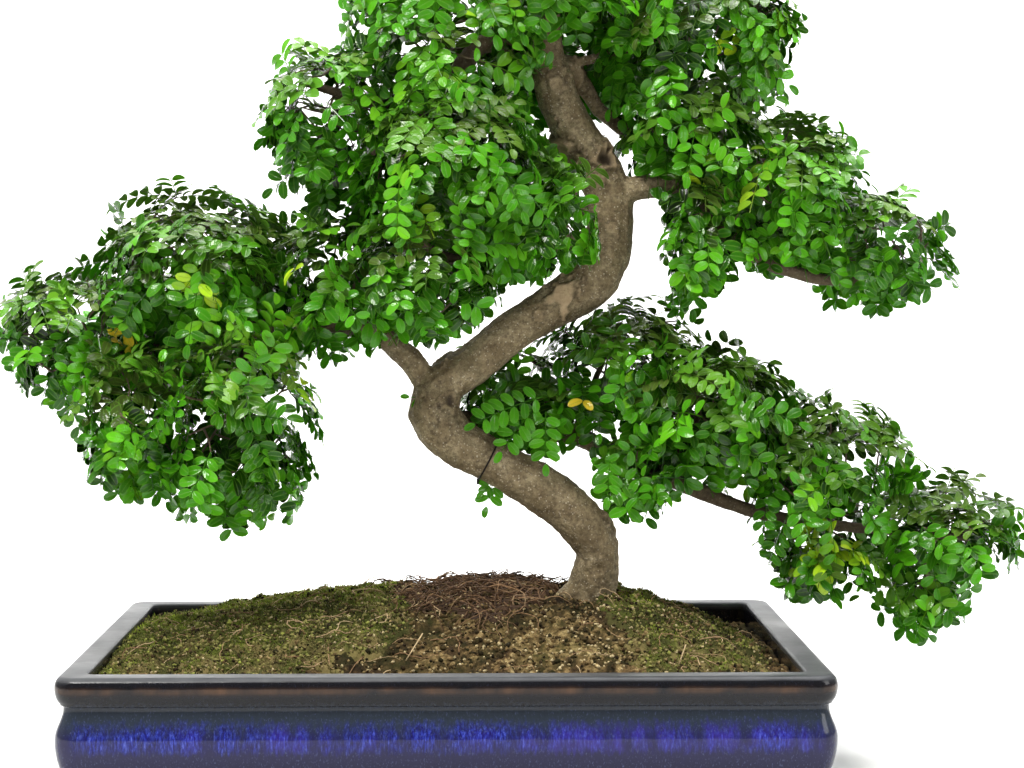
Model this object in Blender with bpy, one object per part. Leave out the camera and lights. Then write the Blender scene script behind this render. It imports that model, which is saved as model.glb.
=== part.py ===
"""Trained pepper-tree bonsai standing in a shallow, glazed ceramic tray.

Metres, +Z up. X runs along the tray's long side, Y from its front to its back. The tray is
modelled about its own centre with its feet on Z = 0, and the tree about the middle of its foot
at the height of the tray's rim. At the end everything moves so that the origin lies under the
middle of the whole object's box.
"""

import math

import bmesh
import bpy
from mathutils import Matrix, Vector, noise

MM = 0.001

# Clearances between pieces that touch.
SEAT_GAP = 0.35 * MM

# Edges shorter than this, which cuts leave behind, are closed up.
SHORTEST_EDGE = 0.1 * MM

# Tray: one piece of glazed ceramic with a rounded lip, a neck, a belly and four corner feet.
TRAY_LENGTH = 400 * MM
TRAY_DEPTH = 288 * MM
TRAY_HEIGHT = 70 * MM
TRAY_CORNER = 12 * MM
INNER_CORNER = 5 * MM
RIM_WIDTH = 16 * MM
LIP_HEIGHT = 14.7 * MM
LIP_WIDEST_DROP = 6 * MM
LIP_ROUNDING = 4.5 * MM
INNER_EDGE = 1.5 * MM
NECK_INSET = 4.5 * MM
BELLY_WIDEST_HEIGHT = 37.5 * MM
UNDERSIDE_INSET = 16 * MM
FLOOR_THICKNESS = 7 * MM
FOOT_HEIGHT = 10 * MM
FOOT_ARM = 70 * MM
FOOT_WIDTH = 18 * MM
FOOT_INSET = 1 * MM
DRAIN_DIAMETER = 25 * MM
DRAIN_SPACING = 180 * MM

# Drain screens: square plastic mesh over each drain hole.
SCREEN_MARGIN = 8 * MM
SCREEN_BAR = 4 * MM
SCREEN_HOLES = 3
SCREEN_THICKNESS = 1.2 * MM

# Filling: coarse grit under the soil, and the soil heaped up round the trunk.
GRIT_DEPTH = 9 * MM
SOIL_EDGE_DROP = 9 * MM
MOUND_RISE = 34 * MM
MOUND_X = 50 * MM
MOUND_Y = 10 * MM
MOUND_LEFT_RUN = 245 * MM
MOUND_RIGHT_RUN = 118 * MM
MOUND_SIDE_RUN = 128 * MM
MOUND_POWER = 2.2

# Tree: its foot in plan, and how far it is scaled from the sizes that are drawn below.
TREE_X = 80 * MM
TREE_Y = 0.0
TREE_SCALE = 1.0

# Patches on the soil: middle, half lengths and thickness. The tray's wall limits them.
MOSS_THICKNESS = 4.5 * MM
ROOT_MAT_THICKNESS = 5.5 * MM
# The root mat runs from the left moss to the surface roots: their reach, and how far it covers them.
ROOT_SPREAD = 36 * MM
ROOT_OVERLAP = 18 * MM
ROOT_MAT_LEFT = -22 * MM
ROOT_MAT_RIGHT = TREE_X - ROOT_SPREAD * TREE_SCALE + ROOT_OVERLAP
PATCH_BLANK_DEPTH = 25 * MM
PATCH_WALL_MARGIN = 4 * MM
PATCH_SPOKES = 24
PATCH_SQUARENESS = 0.75
# Waves round a patch's outline: how many, how high as a share of the reach, and their turn.
PATCH_WAVES = ((3, 0.06, 0.0), (5, 0.04, 1.0))
# Section of a patch from its outline inwards: share of the reach, and share of the thickness.
PATCH_SECTION = ((1.0, 0.25), (0.85, 0.75), (0.6, 0.95), (0.25, 1.0))
PATCHES = {
    "moss_left": ((-104 * MM, -2 * MM), (78 * MM, 112 * MM), MOSS_THICKNESS),
    "moss_right": ((134 * MM, -16 * MM), (34 * MM, 92 * MM), MOSS_THICKNESS),
    "root_mat": (((ROOT_MAT_LEFT + ROOT_MAT_RIGHT) / 2, 6 * MM),
                 ((ROOT_MAT_RIGHT - ROOT_MAT_LEFT) / 2, 58 * MM), ROOT_MAT_THICKNESS),
}

# The wood's girth, and how finely stems are drawn.
TRUNK_GIRTH = 1.0
STEM_STEP = 10 * MM
TWIG_STEP = 18 * MM
TRUNK_SIDES = 12
TWIG_SIDES = 7

# Trunk, from the buried foot to the apex: x, y, z and diameter, all in millimetres.
TRUNK_ROUTE = (
    (-3, 7, -10, 31),
    (0, 4, 17, 29),
    (3, 2, 35, 26.5),
    (4, 0, 49, 25.5),
    (-6, -4, 65, 27),
    (-24, -8, 81, 27),
    (-45, -11, 94, 25),
    (-62, -12, 103, 24.5),
    (-79, -12, 113, 28),
    (-88, -10, 127, 29.5),
    (-83, -8, 142, 25.5),
    (-70, -6, 151, 23),
    (-40, -2, 175, 22.5),
    (-16, 0, 189, 26),
    (4, 3, 204, 29),
    (10, 5, 224, 28),
    (12, 6, 243, 25),
    (5, 6, 262, 26),
    (-7, 4, 281, 24.5),
    (-17, 2, 299, 22.5),
    (-22, 0, 314, 22.5),
    (-25, 0, 329, 19),
    (-24, 0, 342, 14.5),
    (-22, 2, 355, 11),
    (-14, 4, 369, 8),
    (-7, 4, 383, 5),
)

# Roots that flare out from the trunk's foot and dive into the soil.
ROOT_DIAMETERS = (14, 5)
ROOT_ROUTES = (
    ((0, 3, 30), (-14, -3, 21), (-27, -9, 10), (-44, -16, -6)),
    ((0, 4, 14), (14, -10, 10), (28, -24, -2), (40, -38, -16)),
    ((0, 4, 14), (18, 10, 10), (34, 22, -4), (46, 34, -20)),
    ((0, 4, 16), (-8, 20, 12), (-16, 38, 2), (-24, 56, -12)),
)

# Wire that bites into the bark below the knee: where along the trunk, and how thick.
WIRE_AT_POINT = 6.75
WIRE_DIAMETER = 1.4 * MM

# Branches: each has a main route from inside the trunk and forks that carry single pads.
# Routes are in millimetres, and the two diameters are those of the base and the tip.
BRANCHES = {
    "branch_left_low": (
        (((-87, -8, 136), (-102, -10, 157), (-117, -12, 170), (-136, -14, 176),
          (-160, -15, 178), (-187, -18, 174), (-218, -20, 168), (-251, -20, 161),
          (-284, -20, 158)), (15, 4)),
        (((-160, -15, 178), (-190, 20, 181), (-222, 56, 178)), (7, 3)),
        (((-187, -18, 174), (-194, -40, 152), (-200, -50, 126)), (6, 3)),
        (((-187, -18, 174), (-204, -12, 194), (-222, -6, 215)), (6, 3)),
    ),
    "branch_right_low": (
        (((-88, -10, 127), (-75, 8, 121), (-58, 24, 117), (-33, 31, 116), (-7, 27, 111),
          (15, 18, 102), (40, 8, 90), (65, 0, 80), (90, -5, 71), (118, -8, 65),
          (152, -8, 61), (187, -5, 58), (219, 0, 54)), (15, 4)),
        (((-7, 27, 111), (0, 24, 135), (10, 20, 158)), (6, 3)),
        (((40, 8, 90), (52, 4, 108), (62, 0, 125)), (6, 3)),
        (((40, 8, 90), (54, 34, 102), (70, 56, 116)), (6, 3)),
        (((180, -5, 58), (190, -3, 46), (192, -2, 28)), (4, 2.5)),
    ),
    "branch_right_mid": (
        (((12, 6, 250), (36, 0, 254), (52, -6, 253), (64, -12, 239), (82, -14, 219),
          (104, -13, 208), (129, -10, 201), (153, -5, 200), (177, 0, 209)), (15, 3.5)),
        (((48, -5, 253), (72, 8, 265), (101, 18, 267), (133, 20, 253), (160, 16, 236)), (9, 3)),
        (((72, 8, 265), (88, 34, 263), (99, 54, 257)), (6, 3)),
    ),
    "branch_left_mid": (
        (((8, 4, 226), (-15, -22, 221), (-34, -30, 221), (-52, -34, 218), (-68, -34, 211),
          (-82, -37, 213), (-94, -40, 220), (-107, -42, 226)), (12, 3.5)),
        (((-52, -34, 218), (-53, -34, 236), (-58, -34, 250), (-65, -32, 262),
          (-75, -30, 276)), (7, 3)),
        (((-15, -22, 221), (-17, -36, 229), (-17, -48, 238)), (6, 3)),
    ),
    "branch_back": (
        (((8, 5, 234), (-6, 32, 243), (-28, 52, 247), (-52, 66, 247)), (10, 4)),
    ),
    "branch_left_top": (
        (((-25, 0, 327), (-43, -12, 334), (-62, -20, 331), (-76, -26, 315), (-89, -28, 303),
          (-105, -26, 298), (-124, -21, 300), (-143, -16, 305), (-162, -10, 311)), (14, 4)),
        (((-43, -12, 334), (-58, -6, 352), (-76, -2, 370)), (7, 3)),
        (((-85, -28, 306), (-96, -34, 289), (-108, -36, 276), (-122, -36, 270)), (7, 3)),
    ),
    "branch_right_top": (
        (((-23, 1, 322), (-13, 14, 324), (-3, 20, 312), (6, 24, 298), (19, 26, 287),
          (35, 28, 286), (56, 28, 291), (78, 26, 297), (96, 22, 299)), (12, 3.5)),
        (((-13, 14, 324), (16, 12, 329), (46, 8, 341)), (7, 3)),
        (((-3, 20, 312), (-8, 38, 321), (-14, 56, 332)), (6, 3)),
    ),
}

# Foliage pads: middle and half sizes in millimetres.
PADS = {
    "foliage_left_low_crown": ((-224, -4, 214), (62, 66, 38)),
    "foliage_left_low_outer": ((-284, -6, 174), (49, 58, 35)),
    "foliage_left_low_skirt": ((-249, -34, 128), (36, 46, 43)),
    "foliage_left_low_front": ((-198, -46, 124), (43, 44, 54)),
    "foliage_left_low_inner": ((-141, -8, 202), (41, 58, 40)),
    "foliage_left_low_back": ((-222, 62, 178), (62, 44, 40)),
    "foliage_left_top_outer": ((-144, -10, 294), (38, 52, 40)),
    "foliage_left_top_crown": ((-85, -4, 328), (60, 60, 37)),
    "foliage_left_mid": ((-77, -40, 268), (50, 46, 42)),
    "foliage_left_mid_low": ((-91, -42, 210), (38, 44, 38)),
    "foliage_front": ((-17, -50, 238), (27, 28, 37)),
    "foliage_back": ((-57, 70, 246), (46, 42, 42)),
    "foliage_top_left": ((-85, 0, 373), (60, 56, 28)),
    "foliage_top_crown": ((-17, 0, 377), (52, 56, 34)),
    "foliage_top_right": ((56, 4, 350), (64, 58, 38)),
    "foliage_top_back": ((-16, 62, 336), (50, 38, 36)),
    "foliage_right_mid_crown": ((60, 8, 291), (46, 56, 32)),
    "foliage_right_mid": ((107, 0, 252), (50, 54, 40)),
    "foliage_right_mid_outer": ((163, 0, 221), (42, 44, 31)),
    "foliage_right_mid_low": ((62, -16, 232), (27, 36, 34)),
    "foliage_right_mid_back": ((101, 58, 252), (50, 38, 34)),
    "foliage_right_low_inner": ((-34, 24, 138), (41, 38, 31)),
    "foliage_right_low_crown": ((17, 16, 159), (50, 54, 34)),
    "foliage_right_low_mid": ((64, 0, 128), (52, 54, 37)),
    "foliage_right_low_outer": ((135, 0, 94), (53, 52, 35)),
    "foliage_right_low_tip": ((200, 0, 60), (45, 42, 28)),
    "foliage_right_low_hanging": ((191, 0, 26), (25, 24, 22)),
    "foliage_right_low_under": ((129, -4, 51), (34, 36, 25)),
    "foliage_right_low_front": ((28, -12, 94), (28, 28, 22)),
    "foliage_right_low_back": ((73, 62, 122), (56, 40, 31)),
    "foliage_trunk_sprig": ((-52, -11, 79), (9, 9, 12)),
}
PAD_LUMPINESS = 0.09
PAD_LUMP_SIZE = 45 * MM
PAD_DIVISIONS = 4
SMALL_PAD = 30 * MM

# Colours, roughness and metallic value of each material.
GLAZE = ((0.020, 0.030, 0.110), 0.15)
SCREEN_PLASTIC = ((0.02, 0.02, 0.02), 0.5)
GRIT = ((0.22, 0.17, 0.12), 0.95)
SOIL = ((0.075, 0.045, 0.022), 0.95)
MOSS = ((0.080, 0.130, 0.020), 0.95)
ROOT_FIBRE = ((0.130, 0.075, 0.035), 0.9)
BARK = ((0.270, 0.215, 0.150), 0.8)
WIRE = ((0.035, 0.025, 0.020), 0.6)
LEAF = ((0.040, 0.190, 0.015), 0.35)


def clear_scene():
    for item in list(bpy.data.objects):
        bpy.data.objects.remove(item, do_unlink=True)


def make_material(name, look):
    colour, roughness = look
    material = bpy.data.materials.new(name)
    material.use_nodes = True
    shader = material.node_tree.nodes["Principled BSDF"]
    shader.inputs["Base Color"].default_value = (*colour, 1.0)
    shader.inputs["Roughness"].default_value = roughness
    shader.inputs["Metallic"].default_value = 0.0
    return material


def add_object(name, mesh, look=None):
    """Put a mesh in the scene: a piece with a look of its own, or a hidden cutter without one."""
    piece = bpy.data.objects.new(name, mesh)
    bpy.context.scene.collection.objects.link(piece)
    if look is None:
        piece.hide_render = True
        piece.display_type = "WIRE"
    else:
        mesh.materials.append(make_material(name, look))
    return piece


def finish_mesh(name, work, smooth_angle=None):
    """Turn a bmesh into a mesh whose faces point out, shaded smooth up to an angle."""
    bmesh.ops.recalc_face_normals(work, faces=work.faces)
    mesh = bpy.data.meshes.new(name)
    work.to_mesh(mesh)
    work.free()
    if smooth_angle is not None:
        mesh.shade_smooth()
        mesh.set_sharp_from_angle(angle=math.radians(smooth_angle))
    return mesh


def skin_loops(work, loops):
    """Bridge a row of equally long point loops, and close both ends."""
    rings = [[work.verts.new(point) for point in loop] for loop in loops]
    for lower, upper in zip(rings, rings[1:]):
        for index in range(len(lower)):
            after = (index + 1) % len(lower)
            work.faces.new((lower[index], lower[after], upper[after], upper[index]))
    work.faces.new(list(reversed(rings[0])))
    work.faces.new(rings[-1])


def add_boolean(piece, tool, operation="DIFFERENCE"):
    modifier = piece.modifiers.new(tool.name, "BOOLEAN")
    modifier.operation = operation
    modifier.solver = "EXACT"
    modifier.object = tool


def keep_largest_body(piece):
    """Apply the modifiers, and drop the chips and slivers that a cut leaves on the main body."""
    bpy.context.view_layer.update()
    evaluated = piece.evaluated_get(bpy.context.evaluated_depsgraph_get())
    mesh = bpy.data.meshes.new_from_object(evaluated)
    piece.modifiers.clear()
    work = bmesh.new()
    work.from_mesh(mesh)
    bodies = []
    waiting = set(work.verts)
    while waiting:
        body = {waiting.pop()}
        front = list(body)
        while front:
            corner = front.pop()
            for edge in corner.link_edges:
                other = edge.other_vert(corner)
                if other not in body:
                    body.add(other)
                    front.append(other)
        waiting -= body
        bodies.append(body)
    bodies.sort(key=len)
    chips = [corner for body in bodies[:-1] for corner in body]
    bmesh.ops.delete(work, geom=chips, context="VERTS")
    bmesh.ops.dissolve_degenerate(work, dist=SHORTEST_EDGE, edges=work.edges)
    work.to_mesh(mesh)
    work.free()
    piece.data = mesh


# ---------------------------------------------------------------- tray


def rectangle_loop(inset, height, corner, corner_steps=3, side_steps=(1, 1)):
    """Points of a rounded rectangle that lies inset from the tray's widest outline."""
    half_x = TRAY_LENGTH / 2 - inset
    half_y = TRAY_DEPTH / 2 - inset
    corner = min(corner, half_x, half_y)
    centres = ((1, 1), (-1, 1), (-1, -1), (1, -1))
    points = []
    for quarter, (sign_x, sign_y) in enumerate(centres):
        middle = Vector((sign_x * (half_x - corner), sign_y * (half_y - corner), height))
        for step in range(corner_steps + 1):
            angle = math.pi / 2 * (quarter + step / corner_steps)
            points.append(middle + corner * Vector((math.cos(angle), math.sin(angle), 0)))
        following = centres[(quarter + 1) % 4]
        target = Vector((following[0] * (half_x - corner), following[1] * (half_y - corner), height))
        angle = math.pi / 2 * (quarter + 1)
        target += corner * Vector((math.cos(angle), math.sin(angle), 0))
        steps = side_steps[quarter % 2]
        start = points[-1]
        points += [start.lerp(target, step / steps) for step in range(1, steps)]
    return points


def outer_corner(inset):
    return max(TRAY_CORNER - inset, INNER_CORNER)


def tray_profile():
    """Inset and height of the tray's section, from the underside over the lip to the floor."""
    neck_z = TRAY_HEIGHT - LIP_HEIGHT
    lip_z = TRAY_HEIGHT - LIP_WIDEST_DROP
    turns = [math.pi / 2 * step / 4 for step in range(5)]
    profile = []
    for turn in turns:
        profile.append((UNDERSIDE_INSET * (1 - math.sin(turn)),
                        FOOT_HEIGHT + (BELLY_WIDEST_HEIGHT - FOOT_HEIGHT) * (1 - math.cos(turn))))
    for turn in turns[1:]:
        profile.append((NECK_INSET * math.sin(turn) ** 2,
                        BELLY_WIDEST_HEIGHT + (neck_z - BELLY_WIDEST_HEIGHT) * turn / turns[-1]))
    for turn in turns[1:]:
        profile.append((NECK_INSET * (1 - math.sin(turn)),
                        neck_z + (lip_z - neck_z) * (1 - math.cos(turn))))
    for turn in turns[1:]:
        profile.append((LIP_ROUNDING * (1 - math.cos(turn)),
                        lip_z + LIP_WIDEST_DROP * math.sin(turn)))
    profile.append((RIM_WIDTH - INNER_EDGE, TRAY_HEIGHT))
    profile.append((RIM_WIDTH, TRAY_HEIGHT - INNER_EDGE))
    profile.append((RIM_WIDTH, FOOT_HEIGHT + FLOOR_THICKNESS))
    return profile


def foot_mesh(sign_x, sign_y):
    """L-shaped corner foot that reaches into the tray's floor, where it is fused on."""
    outer_x = TRAY_LENGTH / 2 - UNDERSIDE_INSET - FOOT_INSET
    outer_y = TRAY_DEPTH / 2 - UNDERSIDE_INSET - FOOT_INSET
    outline = (
        (outer_x, outer_y),
        (outer_x - FOOT_ARM, outer_y),
        (outer_x - FOOT_ARM, outer_y - FOOT_WIDTH),
        (outer_x - FOOT_WIDTH, outer_y - FOOT_WIDTH),
        (outer_x - FOOT_WIDTH, outer_y - FOOT_ARM),
        (outer_x, outer_y - FOOT_ARM),
    )
    top = FOOT_HEIGHT + FLOOR_THICKNESS / 2
    work = bmesh.new()
    skin_loops(work, [[(sign_x * x, sign_y * y, z) for x, y in outline] for z in (0.0, top)])
    return finish_mesh("foot_blank", work)


def cylinder_mesh(name, centre, radius, low, high, sides=24):
    work = bmesh.new()
    loops = []
    for height in (low, high):
        loops.append([
            (centre[0] + radius * math.cos(math.tau * side / sides),
             centre[1] + radius * math.sin(math.tau * side / sides), height)
            for side in range(sides)
        ])
    skin_loops(work, loops)
    return finish_mesh(name, work)


def box_mesh(name, centre, size, low, high):
    work = bmesh.new()
    corners = ((-1, -1), (1, -1), (1, 1), (-1, 1))
    loops = [
        [(centre[0] + x * size[0] / 2, centre[1] + y * size[1] / 2, height) for x, y in corners]
        for height in (low, high)
    ]
    skin_loops(work, loops)
    return finish_mesh(name, work)


def drain_centres():
    return {"left": (-DRAIN_SPACING / 2, 0.0), "right": (DRAIN_SPACING / 2, 0.0)}


def build_tray():
    work = bmesh.new()
    loops = [rectangle_loop(inset, z, outer_corner(inset)) for inset, z in tray_profile()]
    skin_loops(work, loops)
    tray = add_object("pot", finish_mesh("pot", work, smooth_angle=40), GLAZE)
    for sign_x in (-1, 1):
        for sign_y in (-1, 1):
            add_boolean(tray, add_object("foot_blank", foot_mesh(sign_x, sign_y)), "UNION")
    floor_top = FOOT_HEIGHT + FLOOR_THICKNESS
    for centre in drain_centres().values():
        mesh = cylinder_mesh("drain_cutter", centre, DRAIN_DIAMETER / 2,
                             FOOT_HEIGHT / 2, floor_top + GRIT_DEPTH)
        add_boolean(tray, add_object("drain_cutter", mesh))


def screen_size():
    return DRAIN_DIAMETER + 2 * SCREEN_MARGIN


def build_screens():
    """Square mesh plates, each a frame of bars round a grid of square holes."""
    cells = 2 * SCREEN_HOLES + 1
    hole = (screen_size() - (SCREEN_HOLES + 1) * SCREEN_BAR) / SCREEN_HOLES
    stops = [-screen_size() / 2]
    for cell in range(cells):
        stops.append(stops[-1] + (hole if cell % 2 else SCREEN_BAR))
    bottom = FOOT_HEIGHT + FLOOR_THICKNESS + SEAT_GAP
    for side, centre in drain_centres().items():
        work = bmesh.new()
        grid = [[work.verts.new((centre[0] + x, centre[1] + y, bottom)) for x in stops] for y in stops]
        for row in range(cells):
            for column in range(cells):
                if row % 2 and column % 2:
                    continue
                work.faces.new((grid[row][column], grid[row][column + 1],
                                grid[row + 1][column + 1], grid[row + 1][column]))
        raised = bmesh.ops.extrude_face_region(work, geom=list(work.faces), use_keep_orig=True)
        corners = [item for item in raised["geom"] if isinstance(item, bmesh.types.BMVert)]
        bmesh.ops.translate(work, verts=corners, vec=(0, 0, SCREEN_THICKNESS))
        name = f"drain_screen_{side}"
        add_object(name, finish_mesh(name, work), SCREEN_PLASTIC)


def build_grit():
    """Coarse grit that covers the tray's floor and lies over the drain screens."""
    floor_top = FOOT_HEIGHT + FLOOR_THICKNESS
    wall = RIM_WIDTH + SEAT_GAP
    work = bmesh.new()
    skin_loops(work, [rectangle_loop(wall, z, INNER_CORNER)
                      for z in (floor_top + SEAT_GAP, floor_top + GRIT_DEPTH)])
    grit = add_object("drainage_grit", finish_mesh("drainage_grit", work), GRIT)
    side = screen_size() + 2 * SEAT_GAP
    top = floor_top + SCREEN_THICKNESS + 2 * SEAT_GAP
    for centre in drain_centres().values():
        mesh = box_mesh("screen_cutter", centre, (side, side), floor_top - FLOOR_THICKNESS, top)
        add_boolean(grit, add_object("screen_cutter", mesh))


# ---------------------------------------------------------------- soil and what grows on it


def soil_height(x, y):
    """Height of the soil: a mound round the tree that falls away to the tray's wall."""
    run = MOUND_LEFT_RUN if x < MOUND_X else MOUND_RIGHT_RUN
    along = max(0.0, 1 - (abs(x - MOUND_X) / run) ** MOUND_POWER)
    across = max(0.0, 1 - (abs(y - MOUND_Y) / MOUND_SIDE_RUN) ** MOUND_POWER)
    return TRAY_HEIGHT - SOIL_EDGE_DROP + MOUND_RISE * along * across


def soil_mesh(name, raised=0.0):
    """Closed soil body: rings that shrink to the middle on top, plain wall and underside."""
    rings = 8
    bottom = FOOT_HEIGHT + FLOOR_THICKNESS + GRIT_DEPTH + SEAT_GAP
    wall = RIM_WIDTH + SEAT_GAP
    outline = rectangle_loop(wall, 0.0, INNER_CORNER, corner_steps=2, side_steps=(12, 9))
    loops = [[(point.x, point.y, bottom) for point in outline]]
    for ring in range(rings):
        share = 1 - ring / rings
        loops.append([
            (point.x * share, point.y * share,
             soil_height(point.x * share, point.y * share) + raised)
            for point in outline
        ])
    work = bmesh.new()
    skin_loops(work, loops)
    bmesh.ops.poke(work, faces=[face for face in work.faces if len(face.verts) > 4])
    bmesh.ops.triangulate(work, faces=work.faces, quad_method="FIXED")
    return finish_mesh(name, work, smooth_angle=50)


def patch_mesh(name, centre, half, thickness, extra=0.0):
    """Blank of a patch that lies on the soil: thickest in its middle, thin at its edge."""
    limit_x = TRAY_LENGTH / 2 - RIM_WIDTH - PATCH_WALL_MARGIN
    limit_y = TRAY_DEPTH / 2 - RIM_WIDTH - PATCH_WALL_MARGIN
    section = [(1.0, -PATCH_BLANK_DEPTH)]
    section += [(share, depth * thickness + extra) for share, depth in PATCH_SECTION]
    work = bmesh.new()
    loops = []
    for share, lift in section:
        loop = []
        for spoke in range(PATCH_SPOKES):
            angle = math.tau * spoke / PATCH_SPOKES
            wave = 1 + sum(high * math.sin(count * angle + turn) for count, high, turn in PATCH_WAVES)
            across, over = math.cos(angle), math.sin(angle)
            squared_x = math.copysign(abs(across) ** PATCH_SQUARENESS, across)
            squared_y = math.copysign(abs(over) ** PATCH_SQUARENESS, over)
            x = centre[0] + share * wave * half[0] * squared_x + extra * squared_x
            y = centre[1] + share * wave * half[1] * squared_y + extra * squared_y
            x = max(-limit_x, min(limit_x, x))
            y = max(-limit_y, min(limit_y, y))
            loop.append((x, y, soil_height(x, y) + lift))
        loops.append(loop)
    skin_loops(work, loops)
    bmesh.ops.triangulate(work, faces=work.faces)
    return finish_mesh(name, work, smooth_angle=50)


def build_soil(root_cutters):
    soil = add_object("soil", soil_mesh("soil"), SOIL)
    raised = add_object("soil_cutter", soil_mesh("soil_cutter", SEAT_GAP))
    for cutter in root_cutters:
        add_boolean(soil, cutter)
    keep_largest_body(soil)
    patch_cutters = []
    for name, (centre, half, thickness) in PATCHES.items():
        look = ROOT_FIBRE if name == "root_mat" else MOSS
        patch = add_object(name, patch_mesh(name, centre, half, thickness), look)
        cutter_mesh = patch_mesh("patch_cutter", centre, half, thickness, SEAT_GAP)
        for cutter in [raised] + root_cutters + patch_cutters:
            add_boolean(patch, cutter)
        keep_largest_body(patch)
        patch_cutters.append(add_object("patch_cutter", cutter_mesh))


# ---------------------------------------------------------------- wood


def tree_point(point):
    """A point of the tree, drawn in millimetres from its foot, in the tray's frame."""
    return Vector((TREE_X, TREE_Y, TRAY_HEIGHT)) + Vector(point[:3]) * MM * TREE_SCALE


def curve_point(points, place):
    """Point on the smooth curve through the points, where place counts points from the start."""
    index = min(int(place), len(points) - 2)
    share = place - index
    before = points[max(index - 1, 0)]
    start = points[index]
    end = points[index + 1]
    after = points[min(index + 2, len(points) - 1)]
    return 0.5 * (2 * start + (end - before) * share
                  + (2 * before - 5 * start + 4 * end - after) * share ** 2
                  + (3 * start - before - 3 * end + after) * share ** 3)


class Stem:
    """A round stem that follows a smooth route and changes its diameter along it."""

    def __init__(self, route, diameters, sides, step):
        self.points = [tree_point(point) for point in route]
        self.diameters = [diameter * MM * TREE_SCALE * TRUNK_GIRTH for diameter in diameters]
        self.sides = sides
        self.stations = []
        for index, (start, end) in enumerate(zip(self.points, self.points[1:])):
            count = max(1, round((end - start).length / step))
            self.stations += [index + share / count for share in range(count)]
        self.stations.append(len(self.points) - 1.0)

    def diameter_at(self, place):
        """Diameter at a place: given for each point, or only for the base and the tip."""
        if len(self.diameters) == 2:
            share = place / (len(self.points) - 1)
            return self.diameters[0] + (self.diameters[1] - self.diameters[0]) * share
        index = min(int(place), len(self.diameters) - 2)
        first, second = self.diameters[index:index + 2]
        return first + (second - first) * (place - index)

    def frame_at(self, place):
        """Middle, and two directions across the stem, turned along it without twist."""
        across = None
        marks = [mark for mark in self.stations if mark < place] + [place]
        for mark in marks:
            ahead = curve_point(self.points, min(mark + 0.01, len(self.points) - 1.0))
            behind = curve_point(self.points, max(mark - 0.01, 0.0))
            tangent = (ahead - behind).normalized()
            if across is None:
                across = tangent.orthogonal().normalized()
            across = (across - tangent * across.dot(tangent)).normalized()
        return curve_point(self.points, place), across, tangent.cross(across)

    def loop_at(self, place, extra):
        """Points round the stem, moved out by an extra distance, at its two ends endways too."""
        middle, across, over = self.frame_at(place)
        along = across.cross(over)
        if place == self.stations[0]:
            middle = middle - extra * along
        if place == self.stations[-1]:
            middle = middle + extra * along
        radius = self.diameter_at(place) / 2 + extra
        loop = []
        for side in range(self.sides):
            angle = math.tau * side / self.sides
            loop.append(middle + radius * (math.cos(angle) * across + math.sin(angle) * over))
        return loop

    def mesh(self, name, extra=0.0):
        work = bmesh.new()
        skin_loops(work, [self.loop_at(place, extra) for place in self.stations])
        return finish_mesh(name, work, smooth_angle=60)


def twig_stem(route, diameters):
    return Stem(route, diameters, TWIG_SIDES, TWIG_STEP * TREE_SCALE)


def build_trunk():
    """Trunk with its surface roots. Returns the trunk's stem and the cutters that clear both."""
    diameters = [point[3] for point in TRUNK_ROUTE]
    trunk_stem = Stem(TRUNK_ROUTE, diameters, TRUNK_SIDES, STEM_STEP * TREE_SCALE)
    trunk = add_object("trunk", trunk_stem.mesh("trunk"), BARK)
    trunk_cutter = add_object("trunk_cutter", trunk_stem.mesh("trunk_cutter", SEAT_GAP))
    root_cutters = [trunk_cutter]
    for route in ROOT_ROUTES:
        root = twig_stem(route, ROOT_DIAMETERS)
        add_boolean(trunk, add_object("root_blank", root.mesh("root_blank")), "UNION")
        root_cutters.append(add_object("root_cutter", root.mesh("root_cutter", SEAT_GAP)))
    return trunk_stem, trunk_cutter, root_cutters


def wire_mesh(name, trunk_stem, extra=0.0):
    """Ring of wire that lies tight round the trunk, in the trunk's own cross-section."""
    middle, across, over = trunk_stem.frame_at(WIRE_AT_POINT)
    along = across.cross(over)
    ring_radius = trunk_stem.diameter_at(WIRE_AT_POINT) / 2 + 2 * SEAT_GAP + WIRE_DIAMETER / 2
    wire_radius = WIRE_DIAMETER / 2 + extra
    wire_sides = 6
    work = bmesh.new()
    rings = []
    for side in range(trunk_stem.sides):
        angle = math.tau * side / trunk_stem.sides
        outward = math.cos(angle) * across + math.sin(angle) * over
        centre = middle + ring_radius * outward
        ring = []
        for step in range(wire_sides):
            turn = math.tau * step / wire_sides
            offset = math.cos(turn) * outward + math.sin(turn) * along
            ring.append(work.verts.new(centre + wire_radius * offset))
        rings.append(ring)
    for index, ring in enumerate(rings):
        following = rings[(index + 1) % len(rings)]
        for step in range(wire_sides):
            after = (step + 1) % wire_sides
            work.faces.new((ring[step], ring[after], following[after], following[step]))
    return finish_mesh(name, work, smooth_angle=60)


def build_wire(trunk_stem):
    add_object("training_wire", wire_mesh("training_wire", trunk_stem), WIRE)
    return add_object("wire_cutter", wire_mesh("wire_cutter", trunk_stem, SEAT_GAP))


def build_branches(trunk_cutter):
    """Each branch is one body: its main stem fused with its forks, cut clear of the trunk."""
    cutters = []
    for name, stems in BRANCHES.items():
        branch = None
        for route, diameters in stems:
            stem = twig_stem(route, diameters)
            if branch is None:
                branch = add_object(name, stem.mesh(name), BARK)
            else:
                add_boolean(branch, add_object("fork_blank", stem.mesh("fork_blank")), "UNION")
            cutters.append(add_object("branch_cutter", stem.mesh("branch_cutter", SEAT_GAP)))
        add_boolean(branch, trunk_cutter)
        keep_largest_body(branch)
    return cutters


# ---------------------------------------------------------------- foliage


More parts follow.
